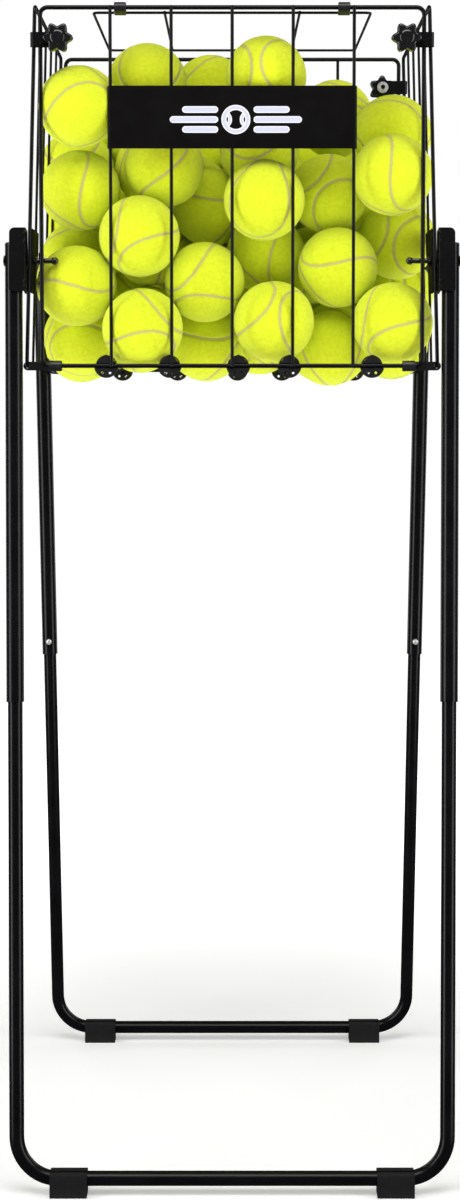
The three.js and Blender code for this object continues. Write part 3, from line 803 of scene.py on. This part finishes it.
def bottom_clip(name):
    """The moulded clip at a lower corner: a sleeve on the hoop and a lug on the side panel's rail."""
    sx, sy = corner(name)
    node = f"bottom_clip_{name}"
    low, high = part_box(node)
    inner_x, outer_x = from_middle(node)
    bar_y = sy * (abs(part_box("front_panel")[1].y) + HOOP_WIRE)
    bar_z = (low.z + high.z) / 2
    radius = (high.z - low.z) / 2
    bore, edge = HOOP_WIRE + PLAY, SLEEVE_EDGE
    shape = Shape()
    shape.lathe([(bore, 0), (radius - edge, 0), (radius - 0.25 * edge, 0.25 * edge), (radius, edge),
                 (radius, SLEEVE - edge), (radius - 0.25 * edge, SLEEVE - 0.25 * edge),
                 (radius - edge, SLEEVE), (bore, SLEEVE)],
                (sx * inner_x, bar_y, bar_z), (sx, 0, 0), 32, closed=True)
    rail_x = outer_x - LUG_HALF
    start_x = inner_x + 1.6 * MM
    lug = [(start_x, -LUG_HALF), *arc((rail_x, 0), LUG_HALF, -90, 90, 16), (start_x, LUG_HALF)]
    shape.plate([lug, circle((rail_x, 0), SIDE_EDGE + PLAY)],
                lambda u, v, w: (sx * u, bar_y - sy * w, bar_z + v), LUG_START, LUG_BACK, 0.5 * MM)
    end_x = inner_x + SLEEVE - 0.6 * MM
    web = [(start_x, 2.6 * MM), (end_x, 2.6 * MM), (end_x, 6.2 * MM), (start_x, 6.2 * MM)]
    shape.plate([web], lambda u, v, w: (sx * u, bar_y - sy * v, bar_z + w), -3.2 * MM, 3.2 * MM, 0.3 * MM)
    make(f"clip_{name}", shape, "clip_plastic", "basket", [node])


# ---------------- lid
LID_WIRE, LID_CORNER = 1.1 * MM, 5 * MM
LID_RIBS = (-55 * MM, 0.0, 55 * MM)
RIB_LIFT, RIB_OVERHANG = 0.4 * MM, 0.5 * MM
BAR_GRIP, WIRE_GRIP = 4.1 * MM, 2.1 * MM


def lid():
    """The lid's wire grid and the two moulded clips that carry it on the hoop's top bar."""
    hinge = joint_place("lid_hinge")
    low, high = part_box("lid")
    near = Vector((0, low.y + LID_WIRE, low.z + LID_WIRE))
    far = Vector((0, high.y - LID_WIRE, high.z - LID_WIRE))
    along = (far - near).normalized()
    up = Vector((1, 0, 0)).cross(along)
    half, reach = high.x - LID_WIRE, (far - near).length
    shape = Shape()
    corners = [near + Vector((x, 0, 0)) + along * d
               for x, d in ((-half, 0), (half, 0), (half, reach), (-half, reach))]
    shape.tube(rounded(corners, LID_CORNER, 8), LID_WIRE, closed=True)
    for x in LID_RIBS:
        start = near + Vector((x, 0, 0)) + up * RIB_LIFT
        shape.tube([start - along * RIB_OVERHANG, start + along * (reach + RIB_OVERHANG)], LID_WIRE, 14)
        for d in (0, reach):
            shape.bead(start + along * d, (1.8, 1.3, 1.2))
    make("lid_wires", shape, "powder_coat", "lid_frame", ["lid"])

    offset = near - hinge
    wire = (offset.y, offset.z)
    direction = degrees(atan2(offset.z, offset.y))
    spread = degrees(acos((BAR_GRIP - WIRE_GRIP) / hypot(*wire)))
    outline = arc((0, 0), BAR_GRIP, direction + spread, direction - spread + 360, 26)
    outline += arc(wire, WIRE_GRIP, direction - spread, direction + spread, 14)
    holes = [circle((0, 0), HOOP_WIRE + PLAY, 28), circle(wire, LID_WIRE + 0.2 * MM, 20)]
    for label in SIDES:
        clip_low, clip_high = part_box(f"lid_clip_{label}")
        clip = Shape()
        clip.plate([outline, *holes], lambda u, v, w: (w, hinge.y + u, hinge.z + v),
                   clip_low.x, clip_high.x, 0.45 * MM)
        make(f"lid_hinge_clip_{label}", clip, "clip_plastic", "lid_frame", [f"lid_clip_{label}"])


# ---------------- floor rods and their caps
ROD = 2.5 * MM
CAP_PEAK, CAP_PEAK_HALF, CAP_PEAK_ROUND = 9.2 * MM, 3.4 * MM, 2.4 * MM
CAP_FRONT, CAP_BACK, CAP_BOSS = -1.2 * MM, 4.6 * MM, 4.3 * MM
CAP_HOLE, CAP_HOLE_XS, CAP_HOLE_Z = 1.15 * MM, (-3.1, 3.1), -5.6 * MM
CAP_RIBS = (-150, -90, 40, 120)  # degrees


def roller(number):
    """One rod, running in two moulded caps that ride on the hoops' lower bars."""
    low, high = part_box(f"roller_rod_{number}")
    centre = (low + high) / 2
    rod = Shape()
    rod.tube([(centre.x, low.y, centre.z), (centre.x, high.y, centre.z)], ROD, 24)
    make(f"floor_rod_{number}", rod, "powder_coat", f"rod_{number}", [f"roller_rod_{number}"])
    for where, sy in (("front", -1), ("rear", 1)):
        node = f"roller_cap_{where}_{number}"
        cap_low, cap_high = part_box(node)
        bar_y = joints["lid_hinge"]["pos_m"][1] * -sy
        boss_end = abs(bar_y) - min(abs(cap_low.y), abs(cap_high.y))
        turn = Matrix.Rotation(0 if sy < 0 else pi, 4, "Z")
        cap = moved(roller_cap((cap_high.x - cap_low.x) / 2, boss_end),
                    Matrix.Translation((centre.x, bar_y, centre.z)) @ turn)
        make(f"rod_cap_{where}_{number}", cap, "clip_plastic", f"rod_carriage_{number}", [node])


def roller_cap(radius, boss_end):
    """A cap drawn round the bar at the origin: a slotted disc with a peak, lightening holes and a boss."""
    grip = HOOP_WIRE + 0.3 * MM
    shoulder = CAP_PEAK - 1.4 * MM
    peak = [(CAP_PEAK_HALF, shoulder), *arc((0, CAP_PEAK - CAP_PEAK_ROUND), CAP_PEAK_ROUND, 60, 120, 8),
            (-CAP_PEAK_HALF, shoulder)]
    lower = arc((0, 0), radius, 180, 360, 40)

    def flat(u, v, w):
        return u, w, v

    below_angle = degrees(asin(grip / radius))
    below = arc((0, 0), radius, 180 + below_angle, 360 - below_angle, 36)
    above_x = radius - grip / (shoulder / (radius - CAP_PEAK_HALF))
    holes = [circle((x * MM, CAP_HOLE_Z), CAP_HOLE, 14) for x in CAP_HOLE_XS]
    whole = [*lower[:-1], (radius, 0), *peak]
    shape = Shape()
    shape.plate([below, *holes], flat, CAP_FRONT, grip + 0.1 * MM, 0.35 * MM)
    shape.plate([[(-above_x, grip), (above_x, grip), *peak]], flat, CAP_FRONT, grip + 0.1 * MM, 0.35 * MM)
    shape.plate([whole, *holes], flat, grip, CAP_BACK, 0.35 * MM)
    axis = (0, 1, 0)
    shape.lathe(mm((-0.9, 0), (-0.9, 0.5), (-2.0, 0.5), (-2.0, 0), at=(radius, CAP_BACK)),
                (0, 0, 0), axis, 40, closed=True)
    boss, bore = CAP_BOSS, ROD + PLAY
    shape.lathe([(bore, CAP_BACK - 0.5 * MM), *mm((0.5, -0.2), (0, 0.6), at=(boss, CAP_BACK)),
                 *mm((0, -0.5), (-0.5, 0), at=(boss, boss_end)),
                 *mm((0.3, 0), (0, -0.3), at=(bore, boss_end))], (0, 0, 0), axis, 32, closed=True)
    start, end, half = boss - 0.4 * MM, radius - 1.2 * MM, 0.5 * MM
    rib = [(start, -half), (end, -half), (end, half), (start, half)]
    for angle in CAP_RIBS:
        spin = Matrix.Rotation(radians(angle), 3, "Y")
        shape.plate([rib], lambda u, v, w: spin @ Vector((u, w, v)),
                    CAP_BACK - 0.1 * MM, CAP_BACK + 0.45 * MM, 0.1 * MM)
    return shape


# ---------------- legs
UPPER_TUBE, LOWER_TUBE = 7.25 * MM, 6.0 * MM
LOWER_BEND = 34 * MM
BRACKET, BRACKET_HALF, BRACKET_FOLD = 1.6 * MM, 26 * MM, 1.0 * MM
BRACKET_WELDS = (-22 * MM, -18 * MM, 15 * MM, 22 * MM)
BOLT, CLAMP_NUT, CAP_NUT = 2.0 * MM, 3.9 * MM, 3.15 * MM
BUTTON = 2.8 * MM
SOLE, SHOE_EDGE = 8.2 * MM, 0.9 * MM


class Leg:
    """One leg frame. Its own X runs across, Y to the basket's middle, and Z up the leg from the pivot."""

    def __init__(self, where):
        self.where = where
        self.sy = -1 if where == "front" else 1
        self.body = f"{where}_legs"
        self.pivot = joint_place(f"{where}_legs_swing")
        foot_y = Vector(mounts[f"foot_{where}_left"]["pos_m"]).y
        frame_low, frame_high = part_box(f"lower_frame_{where}")
        bar_z = frame_low.z + LOWER_TUBE
        run, drop = abs(foot_y) - abs(self.pivot.y), self.pivot.z - bar_z
        splay = atan2(run, drop)
        self.length = hypot(run, drop)
        self.bar = Vector((0, foot_y, bar_z))
        front = Matrix.Translation((0, -abs(self.pivot.y), self.pivot.z)) @ Matrix.Rotation(-splay, 4, "X")
        self.place = front if self.sy < 0 else Matrix.Rotation(pi, 4, "Z") @ front
        upper_low, upper_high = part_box(f"upper_tube_{where}_right")
        self.top = (upper_high.z - self.pivot.z) / cos(splay)
        self.upper_end = -(self.pivot.z - upper_low.z) / cos(splay)
        self.lower_top = (frame_high.z - self.pivot.z) / cos(splay)
        top_x = upper_high.x - UPPER_TUBE
        low_x = frame_high.x - LOWER_TUBE
        self.slope = (top_x - low_x) / (self.top - self.lower_top)
        self.pivot_x = top_x - self.slope * self.top

    def x(self, z):
        """How far a tube's centre stands from the middle, at a height along the leg."""
        return self.pivot_x + self.slope * z

    def label(self, side):
        """The corner's name for a side of the leg's own X."""
        return f"{self.where}_{'right' if side * -self.sy > 0 else 'left'}"

    def put(self, shape):
        return moved(shape, self.place)


def upper_tube(leg, side):
    name = f"upper_tube_{leg.label(side)}"
    start = Vector((side * leg.x(leg.top), 0, leg.top))
    end = Vector((side * leg.x(leg.upper_end), 0, leg.upper_end))
    axis = (end - start).normalized()
    length = (end - start).length
    bore = LOWER_TUBE + 0.35 * MM
    r = UPPER_TUBE
    tube = Shape()
    tube.lathe([(bore, 30 * MM), *mm((-0.4, 0.4), (0, 0.8), at=(r, 0)),
                *mm((0, -1.2), (0.12, -0.7), (0.12, -0.3), (-0.1, 0), at=(r, length)),
                *mm((0.1, 0), (0, -0.3), at=(bore, length))], start, axis, 40, closed=True)
    make(f"{name}_sleeve", leg.put(tube), "powder_coat", leg.body, [name])

    plug = Shape()
    plug.lathe([*mm((-1.4, -0.95), (-0.5, -0.8), (0.02, -0.3), (0.1, 0.3), (0.1, 0.9), at=(r, 0)),
                *mm((-0.1, 1.0), (-0.1, 12), (-1.4, 12), (-1.4, 0.6), at=(bore, 0)),
                *mm((2.0, 0.2), (2.0, -0.7))], start, axis, 40, closed=True)
    make(f"tube_plug_{leg.label(side)}", leg.put(plug), "clip_plastic", leg.body)


def lower_frame(leg):
    """The U of thin tube: two legs, two bends and the cross bar, with its open ends inside the sleeves."""
    name = f"lower_frame_{leg.where}"
    corners = [(side * leg.x(z), 0, z) for side, z in (
        (-1, leg.lower_top), (-1, -leg.length), (1, -leg.length), (1, leg.lower_top))]
    tube = Shape()
    tube.tube(rounded(corners, LOWER_BEND, 18, closed=False), LOWER_TUBE, 32)
    make(f"{name}_tube", leg.put(tube), "powder_coat", leg.body, [name])


def leg_bracket(leg, side):
    """A folded plate in front of the tube and beside it, rounded at both ends, with welds on the fold."""
    node = f"leg_bracket_{leg.label(side)}"
    inner, outer = from_middle(node)
    face = -UPPER_TUBE - 0.3 * MM
    front = face - BRACKET
    flange_end = UPPER_TUBE + 1.0 * MM
    bevel = 0.2 * MM
    section = [Vector(p) for p in (
        (outer - bevel, front), (outer, front + bevel), (outer, face),
        (inner + BRACKET + bevel, face), (inner + BRACKET, face + bevel),
        (inner + BRACKET, flange_end), (inner, flange_end))]
    section += arc((inner + BRACKET_FOLD, front + BRACKET_FOLD), BRACKET_FOLD, 180, 270, 6)
    levels = []
    for sign, radius in ((-1, 1.6 * MM), (1, 4.2 * MM)):
        levels += [(sign * (BRACKET_HALF - radius * (1 - cos(a))), radius * (1 - sin(a)))
                   for a in sweep(pi / 2, 7)]
    shape = Shape()
    shape.skin([[Vector((side * (p.x - pull if p.x > outer - 0.3 * MM else p.x), p.y, z)) for p in section]
                for z, pull in sorted(levels)])
    for z in BRACKET_WELDS:
        shape.bead((side * (inner + 0.9 * MM), front + 0.3 * MM, z), (1.3, 1.0, 1.9))
    make(f"bracket_{leg.label(side)}", leg.put(shape), "strap_steel", leg.body, [node])


def pivot_bolt(leg, side):
    """The carriage bolt with its clamp nuts and domed cap nut; it stays with the basket."""
    label = leg.label(side)
    tip, head = from_middle(f"pivot_bolt_{label}")
    flange = from_middle(f"leg_bracket_{label}")[0]
    axis = Vector((corner(label)[0], 0, 0))
    origin = Vector((0, leg.pivot.y, leg.pivot.z))
    r = BOLT
    shape = Shape()
    shape.lathe([*mm((0.4, 0), (2.6, -0.15), (4.0, -0.6), (4.6, -1.0), (4.6, -1.1), at=(0, head)),
                 (r, head - 1.1 * MM), (r, tip + 6 * MM)], origin, axis, 36)
    nut_face = flange - 5.8 * MM
    for start, thick in ((nut_face - 2.8 * MM, 2.8 * MM), (flange - 3.2 * MM, 2.6 * MM)):
        end = start + thick
        shape.lathe([(r - 0.2 * MM, start), *mm((-0.5, 0), (0, 0.4), at=(CLAMP_NUT, start)),
                     *mm((0, -0.4), (-0.5, 0), at=(CLAMP_NUT, end)), (r - 0.2 * MM, end)],
                    origin, axis, 6, closed=True, turn=0.5)
    make(f"bolt_{label}", shape, "strap_steel", "basket", [f"pivot_bolt_{label}"])

    cap = Shape()
    dome = [(CAP_NUT * sin(a), tip + CAP_NUT * (1 - cos(a))) for a in sweep(radians(140), 14)]
    cap.lathe([*dome, (r + 0.12 * MM, tip + 6.2 * MM)], origin, axis)
    cap.lathe([*mm((-0.3, 6.0), (0.12, 6.2), at=(r, tip)), (r + 0.12 * MM, nut_face - 3.0 * MM)],
              origin, axis, 24)
    make(f"cap_nut_{label}", cap, "knob_plastic", "basket")


def snap_button(leg, side):
    """The spring button's domed pin with its collar inside the tubes, and the eyelet that it stands in."""
    label = leg.label(side)
    middle = middle_of(f"snap_button_{label}")
    inward = leg.place.to_3x3() @ Vector((0, 1, 0))
    button_z = (middle.z - leg.pivot.z) / (leg.place.to_3x3() @ Vector((0, 0, 1))).z
    origin = leg.place @ Vector((side * leg.x(button_z), 0, button_z))
    origin.x = middle.x
    dome = [(BUTTON * cos(a), 8.0 * MM + 2.0 * MM * sin(a)) for a in sweep(pi / 2, 8)]
    shape = Shape()
    shape.lathe([*mm((3.7, 1.0), (3.7, 2.2)), (BUTTON, 2.2 * MM), *dome], origin, inward)
    make(f"button_pin_{label}", shape, "bright_steel", f"button_{label}", [f"snap_button_{label}"])
    eyelet = Shape()
    eyelet.lathe(mm((0.15, 7.0), (0.9, 6.6), (0.9, 7.1), (0.3, 7.42), at=(BUTTON, 0)),
                 origin, inward, closed=True)
    make(f"button_eyelet_{label}", eyelet, "powder_coat", leg.body)


def foot(leg, side):
    """A rubber shoe pushed on the cross bar from below, with two nubs on each side."""
    label = leg.label(side)
    low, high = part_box(f"foot_{label}")
    y0, bar_z, top = leg.bar.y, leg.bar.z, high.z
    half = (high.y - low.y) / 2
    grip = LOWER_TUBE + 0.1 * MM
    mouth = degrees(asin(min(1, (top - bar_z - 0.35 * MM) / grip)))
    bore = arc((0, bar_z), grip, mouth, -180 - mouth, 40)
    outline = [(-SOLE, 0.0), (SOLE, 0.0),
               (half, 1.2 * MM), (half, top - SHOE_EDGE), (half - SHOE_EDGE, top),
               (bore[0].x + 0.4 * MM, top), *bore, (bore[-1].x - 0.4 * MM, top),
               (-half + SHOE_EDGE, top), (-half, top - SHOE_EDGE), (-half, 1.2 * MM)]
    shape = Shape()
    shape.plate([outline], lambda u, v, w: (w, y0 + u, v), low.x, high.x, 0.3 * MM)
    for share in (0.10, 0.90):
        x = low.x + share * (high.x - low.x)
        for sign in (-1, 1):
            shape.bead((x, y0 + sign * (half - 0.2 * MM), bar_z), (0.7, 0.55, 4.2))
    make(f"shoe_{label}", shape, "foot_rubber", leg.body, [f"foot_{label}"])


def leg_frame(where):
    leg = Leg(where)
    lower_frame(leg)
    for side in (-1, 1):
        upper_tube(leg, side)
        leg_bracket(leg, side)
        pivot_bolt(leg, side)
        snap_button(leg, side)
        foot(leg, side)


# ---------------- balls
BALL = 33.5 * MM
BALL_GAP = 0.4 * MM
SEAM_BULGE, SEAM_SAMPLES = 0.56, 1200
SEAM_DEPTH, SEAM_WIDTH = 0.45, 1.6  # millimetres

# The balls that show at the front: X, Y from the front hoop and height from the floor, in millimetres.
SEEN_BALLS = [
    (-126, 34, 882), (-127, 34, 816), (-128, 34, 736), (-71, 36, 905), (-57, 40, 836), (-77, 34, 776),
    (-77, 34, 703), (28, 34, 908), (-25, 34, 738), (27, 34, 806), (134, 34, 828), (93, 34, 750),
    (36, 34, 706), (84, 52, 686), (132, 42, 708), (-129, 46, 697), (-24, 82, 690), (-18, 92, 902),
    (-19, 84, 806), (84, 84, 816), (90, 100, 886), (28, 84, 766), (140, 88, 776), (-137, 98, 760),
    (138, 90, 866),
]
HELD_SINK, LOOSE_SINK = 15 * MM, 22 * MM  # how near the rods' height a ball's middle may sink between them
BALL_LAYERS, BALL_ROWS, BALL_COLUMNS = 4, 3, 4
BALL_PITCH, LAYER_RISE = 64, 66  # millimetres, as the next three
FIRST_ROW, FIRST_LAYER = 96, 705
SCATTER = 4
BALL_SEED = 5
STAGGER = 0.25  # of a pitch, from row to row and layer to layer
FILL_LEVEL = 0.885  # no loose ball rests with its middle higher than this
SETTLE_STEPS, FALL = 900, 0.5 * MM
HELD_GIVE, HELD_PULL = 0.08, 0.3  # how far a held ball gives way, and how fast it goes back


def ball_mesh():
    """A ball whose felt sinks at the seam; each point carries its distance to the seam."""
    work = bmesh.new()
    bmesh.ops.create_icosphere(work, subdivisions=5, radius=1.0)
    mesh = bpy.data.meshes.new("ball")
    work.to_mesh(mesh)
    work.free()
    points = np.empty(len(mesh.vertices) * 3)
    mesh.vertices.foreach_get("co", points)
    points = points.reshape(-1, 3)
    points /= np.linalg.norm(points, axis=1)[:, None]
    bulge, waist = SEAM_BULGE, 1 - SEAM_BULGE
    t = np.linspace(0, 2 * np.pi, SEAM_SAMPLES, endpoint=False)
    seam = np.stack([bulge * np.cos(t) + waist * np.cos(3 * t), bulge * np.sin(t) - waist * np.sin(3 * t),
                     2 * sqrt(bulge * waist) * np.sin(2 * t)], axis=1)
    along = np.roll(seam, -1, axis=0) - np.roll(seam, 1, axis=0)
    nearest = np.argmax(points @ seam.T, axis=1)
    aside = np.cross(seam[nearest], along[nearest])
    aside /= np.linalg.norm(aside, axis=1)[:, None]
    distance = np.arccos(np.clip(np.sum(points * seam[nearest], axis=1), -1, 1)) * BALL / MM
    signed = distance * np.sign(np.sum((points - seam[nearest]) * aside, axis=1))
    radius = BALL - SEAM_DEPTH * np.exp(-(signed / SEAM_WIDTH) ** 2) * MM
    mesh.vertices.foreach_set("co", (points * radius[:, None]).ravel())
    attribute = mesh.attributes.new(SEAM_ATTRIBUTE, "FLOAT", "POINT")
    attribute.data.foreach_set("value", signed.astype(np.float32))
    mesh.polygons.foreach_set("use_smooth", [True] * len(mesh.polygons))
    mesh.materials.append(FINISH["felt"])
    return mesh


def obstacles():
    """What the balls lie against, as round bars: (start, end, radius) of each wire, rod and pivot bolt."""
    bars = []
    for hoop in (Hoop(name) for name in PANELS):
        low_z, high_z = hoop.low.z, hoop.high.z
        bars += [((x, hoop.wire_y, low_z), (x, hoop.wire_y, high_z), UPRIGHT_WIRE) for x in UPRIGHT_XS]
        bars += [((x, hoop.y, low_z), (x, hoop.y, high_z), HOOP_WIRE) for x in (hoop.left, hoop.right)]
        bars.append(((hoop.left, hoop.y, hoop.bottom), (hoop.right, hoop.y, hoop.bottom), HOOP_WIRE))
    for label, sign in SIDES.items():
        name = f"side_panel_{label}"
        low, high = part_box(name)
        near_x, far_x = from_middle(name)
        bottom, top = sign * (far_x - SIDE_EDGE), sign * (near_x + SIDE_EDGE)
        half_y = high.y - SIDE_EDGE
        for i in range(SIDE_WIRES + 2):
            y = i * 2 * half_y / (SIDE_WIRES + 1) - half_y
            bars.append(((bottom, y, low.z), (top, y, high.z), SIDE_WIRE))
        bars.append(((bottom, -half_y, low.z), (bottom, half_y, low.z), SIDE_EDGE))
    for number in RODS:
        low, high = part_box(f"roller_rod_{number}")
        middle = (low + high) / 2
        bars.append(((middle.x, low.y, middle.z), (middle.x, high.y, middle.z), ROD))
    for name in CORNERS:
        node = f"pivot_bolt_{name}"
        middle = middle_of(node)
        bars.append(((corner(name)[0] * from_middle(node)[0], middle.y, middle.z), tuple(middle), CAP_NUT))
    starts, ends, radii = zip(*bars)
    return np.array(starts), np.array(ends), np.array(radii)


def settle(seeds, held):
    """Drops the balls and pushes them off each other and the bars; the held ones stay near their seeds."""
    starts, ends, radii = obstacles()
    spans = ends - starts
    lengths = (spans ** 2).sum(axis=1)
    is_held = np.arange(len(seeds)) < held
    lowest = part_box("roller_rod_1")[0].z + ROD + np.where(is_held, HELD_SINK, LOOSE_SINK)
    reach = BALL + BALL_GAP / 2
    light = np.where(is_held, HELD_GIVE, 1.0)
    share = light[:, None] / (light[:, None] + light[None, :])
    same = np.eye(len(seeds))
    places = seeds.copy()
    for step in range(SETTLE_STEPS):
        left = 1 - step / SETTLE_STEPS
        places[held:, 2] -= FALL * left
        offset = places[:, None, :] - places[None, :, :]
        gap = np.linalg.norm(offset, axis=2) + same
        push = np.clip(2 * reach - gap, 0, None) * (1 - same) * share
        places += (offset / gap[:, :, None] * push[:, :, None]).sum(axis=1) * 0.5
        strayed = seeds[:held, [0, 2]] - places[:held, [0, 2]]
        places[:held, [0, 2]] += strayed * HELD_PULL * min(1, 5 * left)
        from_start = places[:, None, :] - starts[None, :, :]
        along = np.clip((from_start * spans).sum(axis=2) / lengths, 0, 1)
        away = from_start - along[:, :, None] * spans
        span = np.linalg.norm(away, axis=2)
        lift = np.clip(BALL + radii - span, 0, None) / span
        places += (away * lift[:, :, None]).sum(axis=1)
        places[:, 2] = np.maximum(places[:, 2], lowest)
    kept = places[:, 2] < FILL_LEVEL
    kept[:held] = True
    return places[kept]


def make_balls():
    front_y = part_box("front_panel")[1].y
    seeds = [(x * MM, front_y + y * MM, z * MM) for x, y, z in SEEN_BALLS]
    chance = random.Random(BALL_SEED)
    for layer in range(BALL_LAYERS):
        for row in range(BALL_ROWS):
            for column in range(BALL_COLUMNS):
                stagger = STAGGER if (row + layer) % 2 else -STAGGER
                x = (column - (BALL_COLUMNS - 1) / 2 + stagger) * BALL_PITCH
                seeds.append(((x + chance.uniform(-SCATTER, SCATTER)) * MM,
                              front_y + (FIRST_ROW + BALL_PITCH * row) * MM,
                              (FIRST_LAYER + LAYER_RISE * layer + chance.uniform(-SCATTER, SCATTER)) * MM))
    mesh = ball_mesh()
    for number, place in enumerate(settle(np.array(seeds), len(SEEN_BALLS)), 1):
        ball = place_object(f"ball_{number:02d}", mesh)
        ball.rotation_euler = [chance.uniform(-pi, pi) for _ in range(3)]
        ball.location = place
        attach(ball, "basket")


# ---------------- assembly
FINISH = {made.__name__: made() for made in (
    powder_coat, dull_coat, strap_steel, black_sheet, knob_plastic, clip_plastic, bright_steel, foot_rubber,
    felt)}
FINISH["sign_mark_edge"] = printed_mark("sign_mark_edge", MARK_EDGE)
FINISH["sign_mark_fill"] = printed_mark("sign_mark_fill", MARK_INK)

make_camera()
make_lights()
make_floor()
for panel_name in PANELS:
    hoop_panel(panel_name)
for side_name, side_sign in SIDES.items():
    side_panel(side_name, side_sign)
sign_plate()
for corner_name in CORNERS:
    corner_strap(corner_name)
    star_knob(corner_name)
    bottom_clip(corner_name)
lid()
for rod_number in RODS:
    roller(rod_number)
leg_frame("front")
leg_frame("rear")
make_balls()
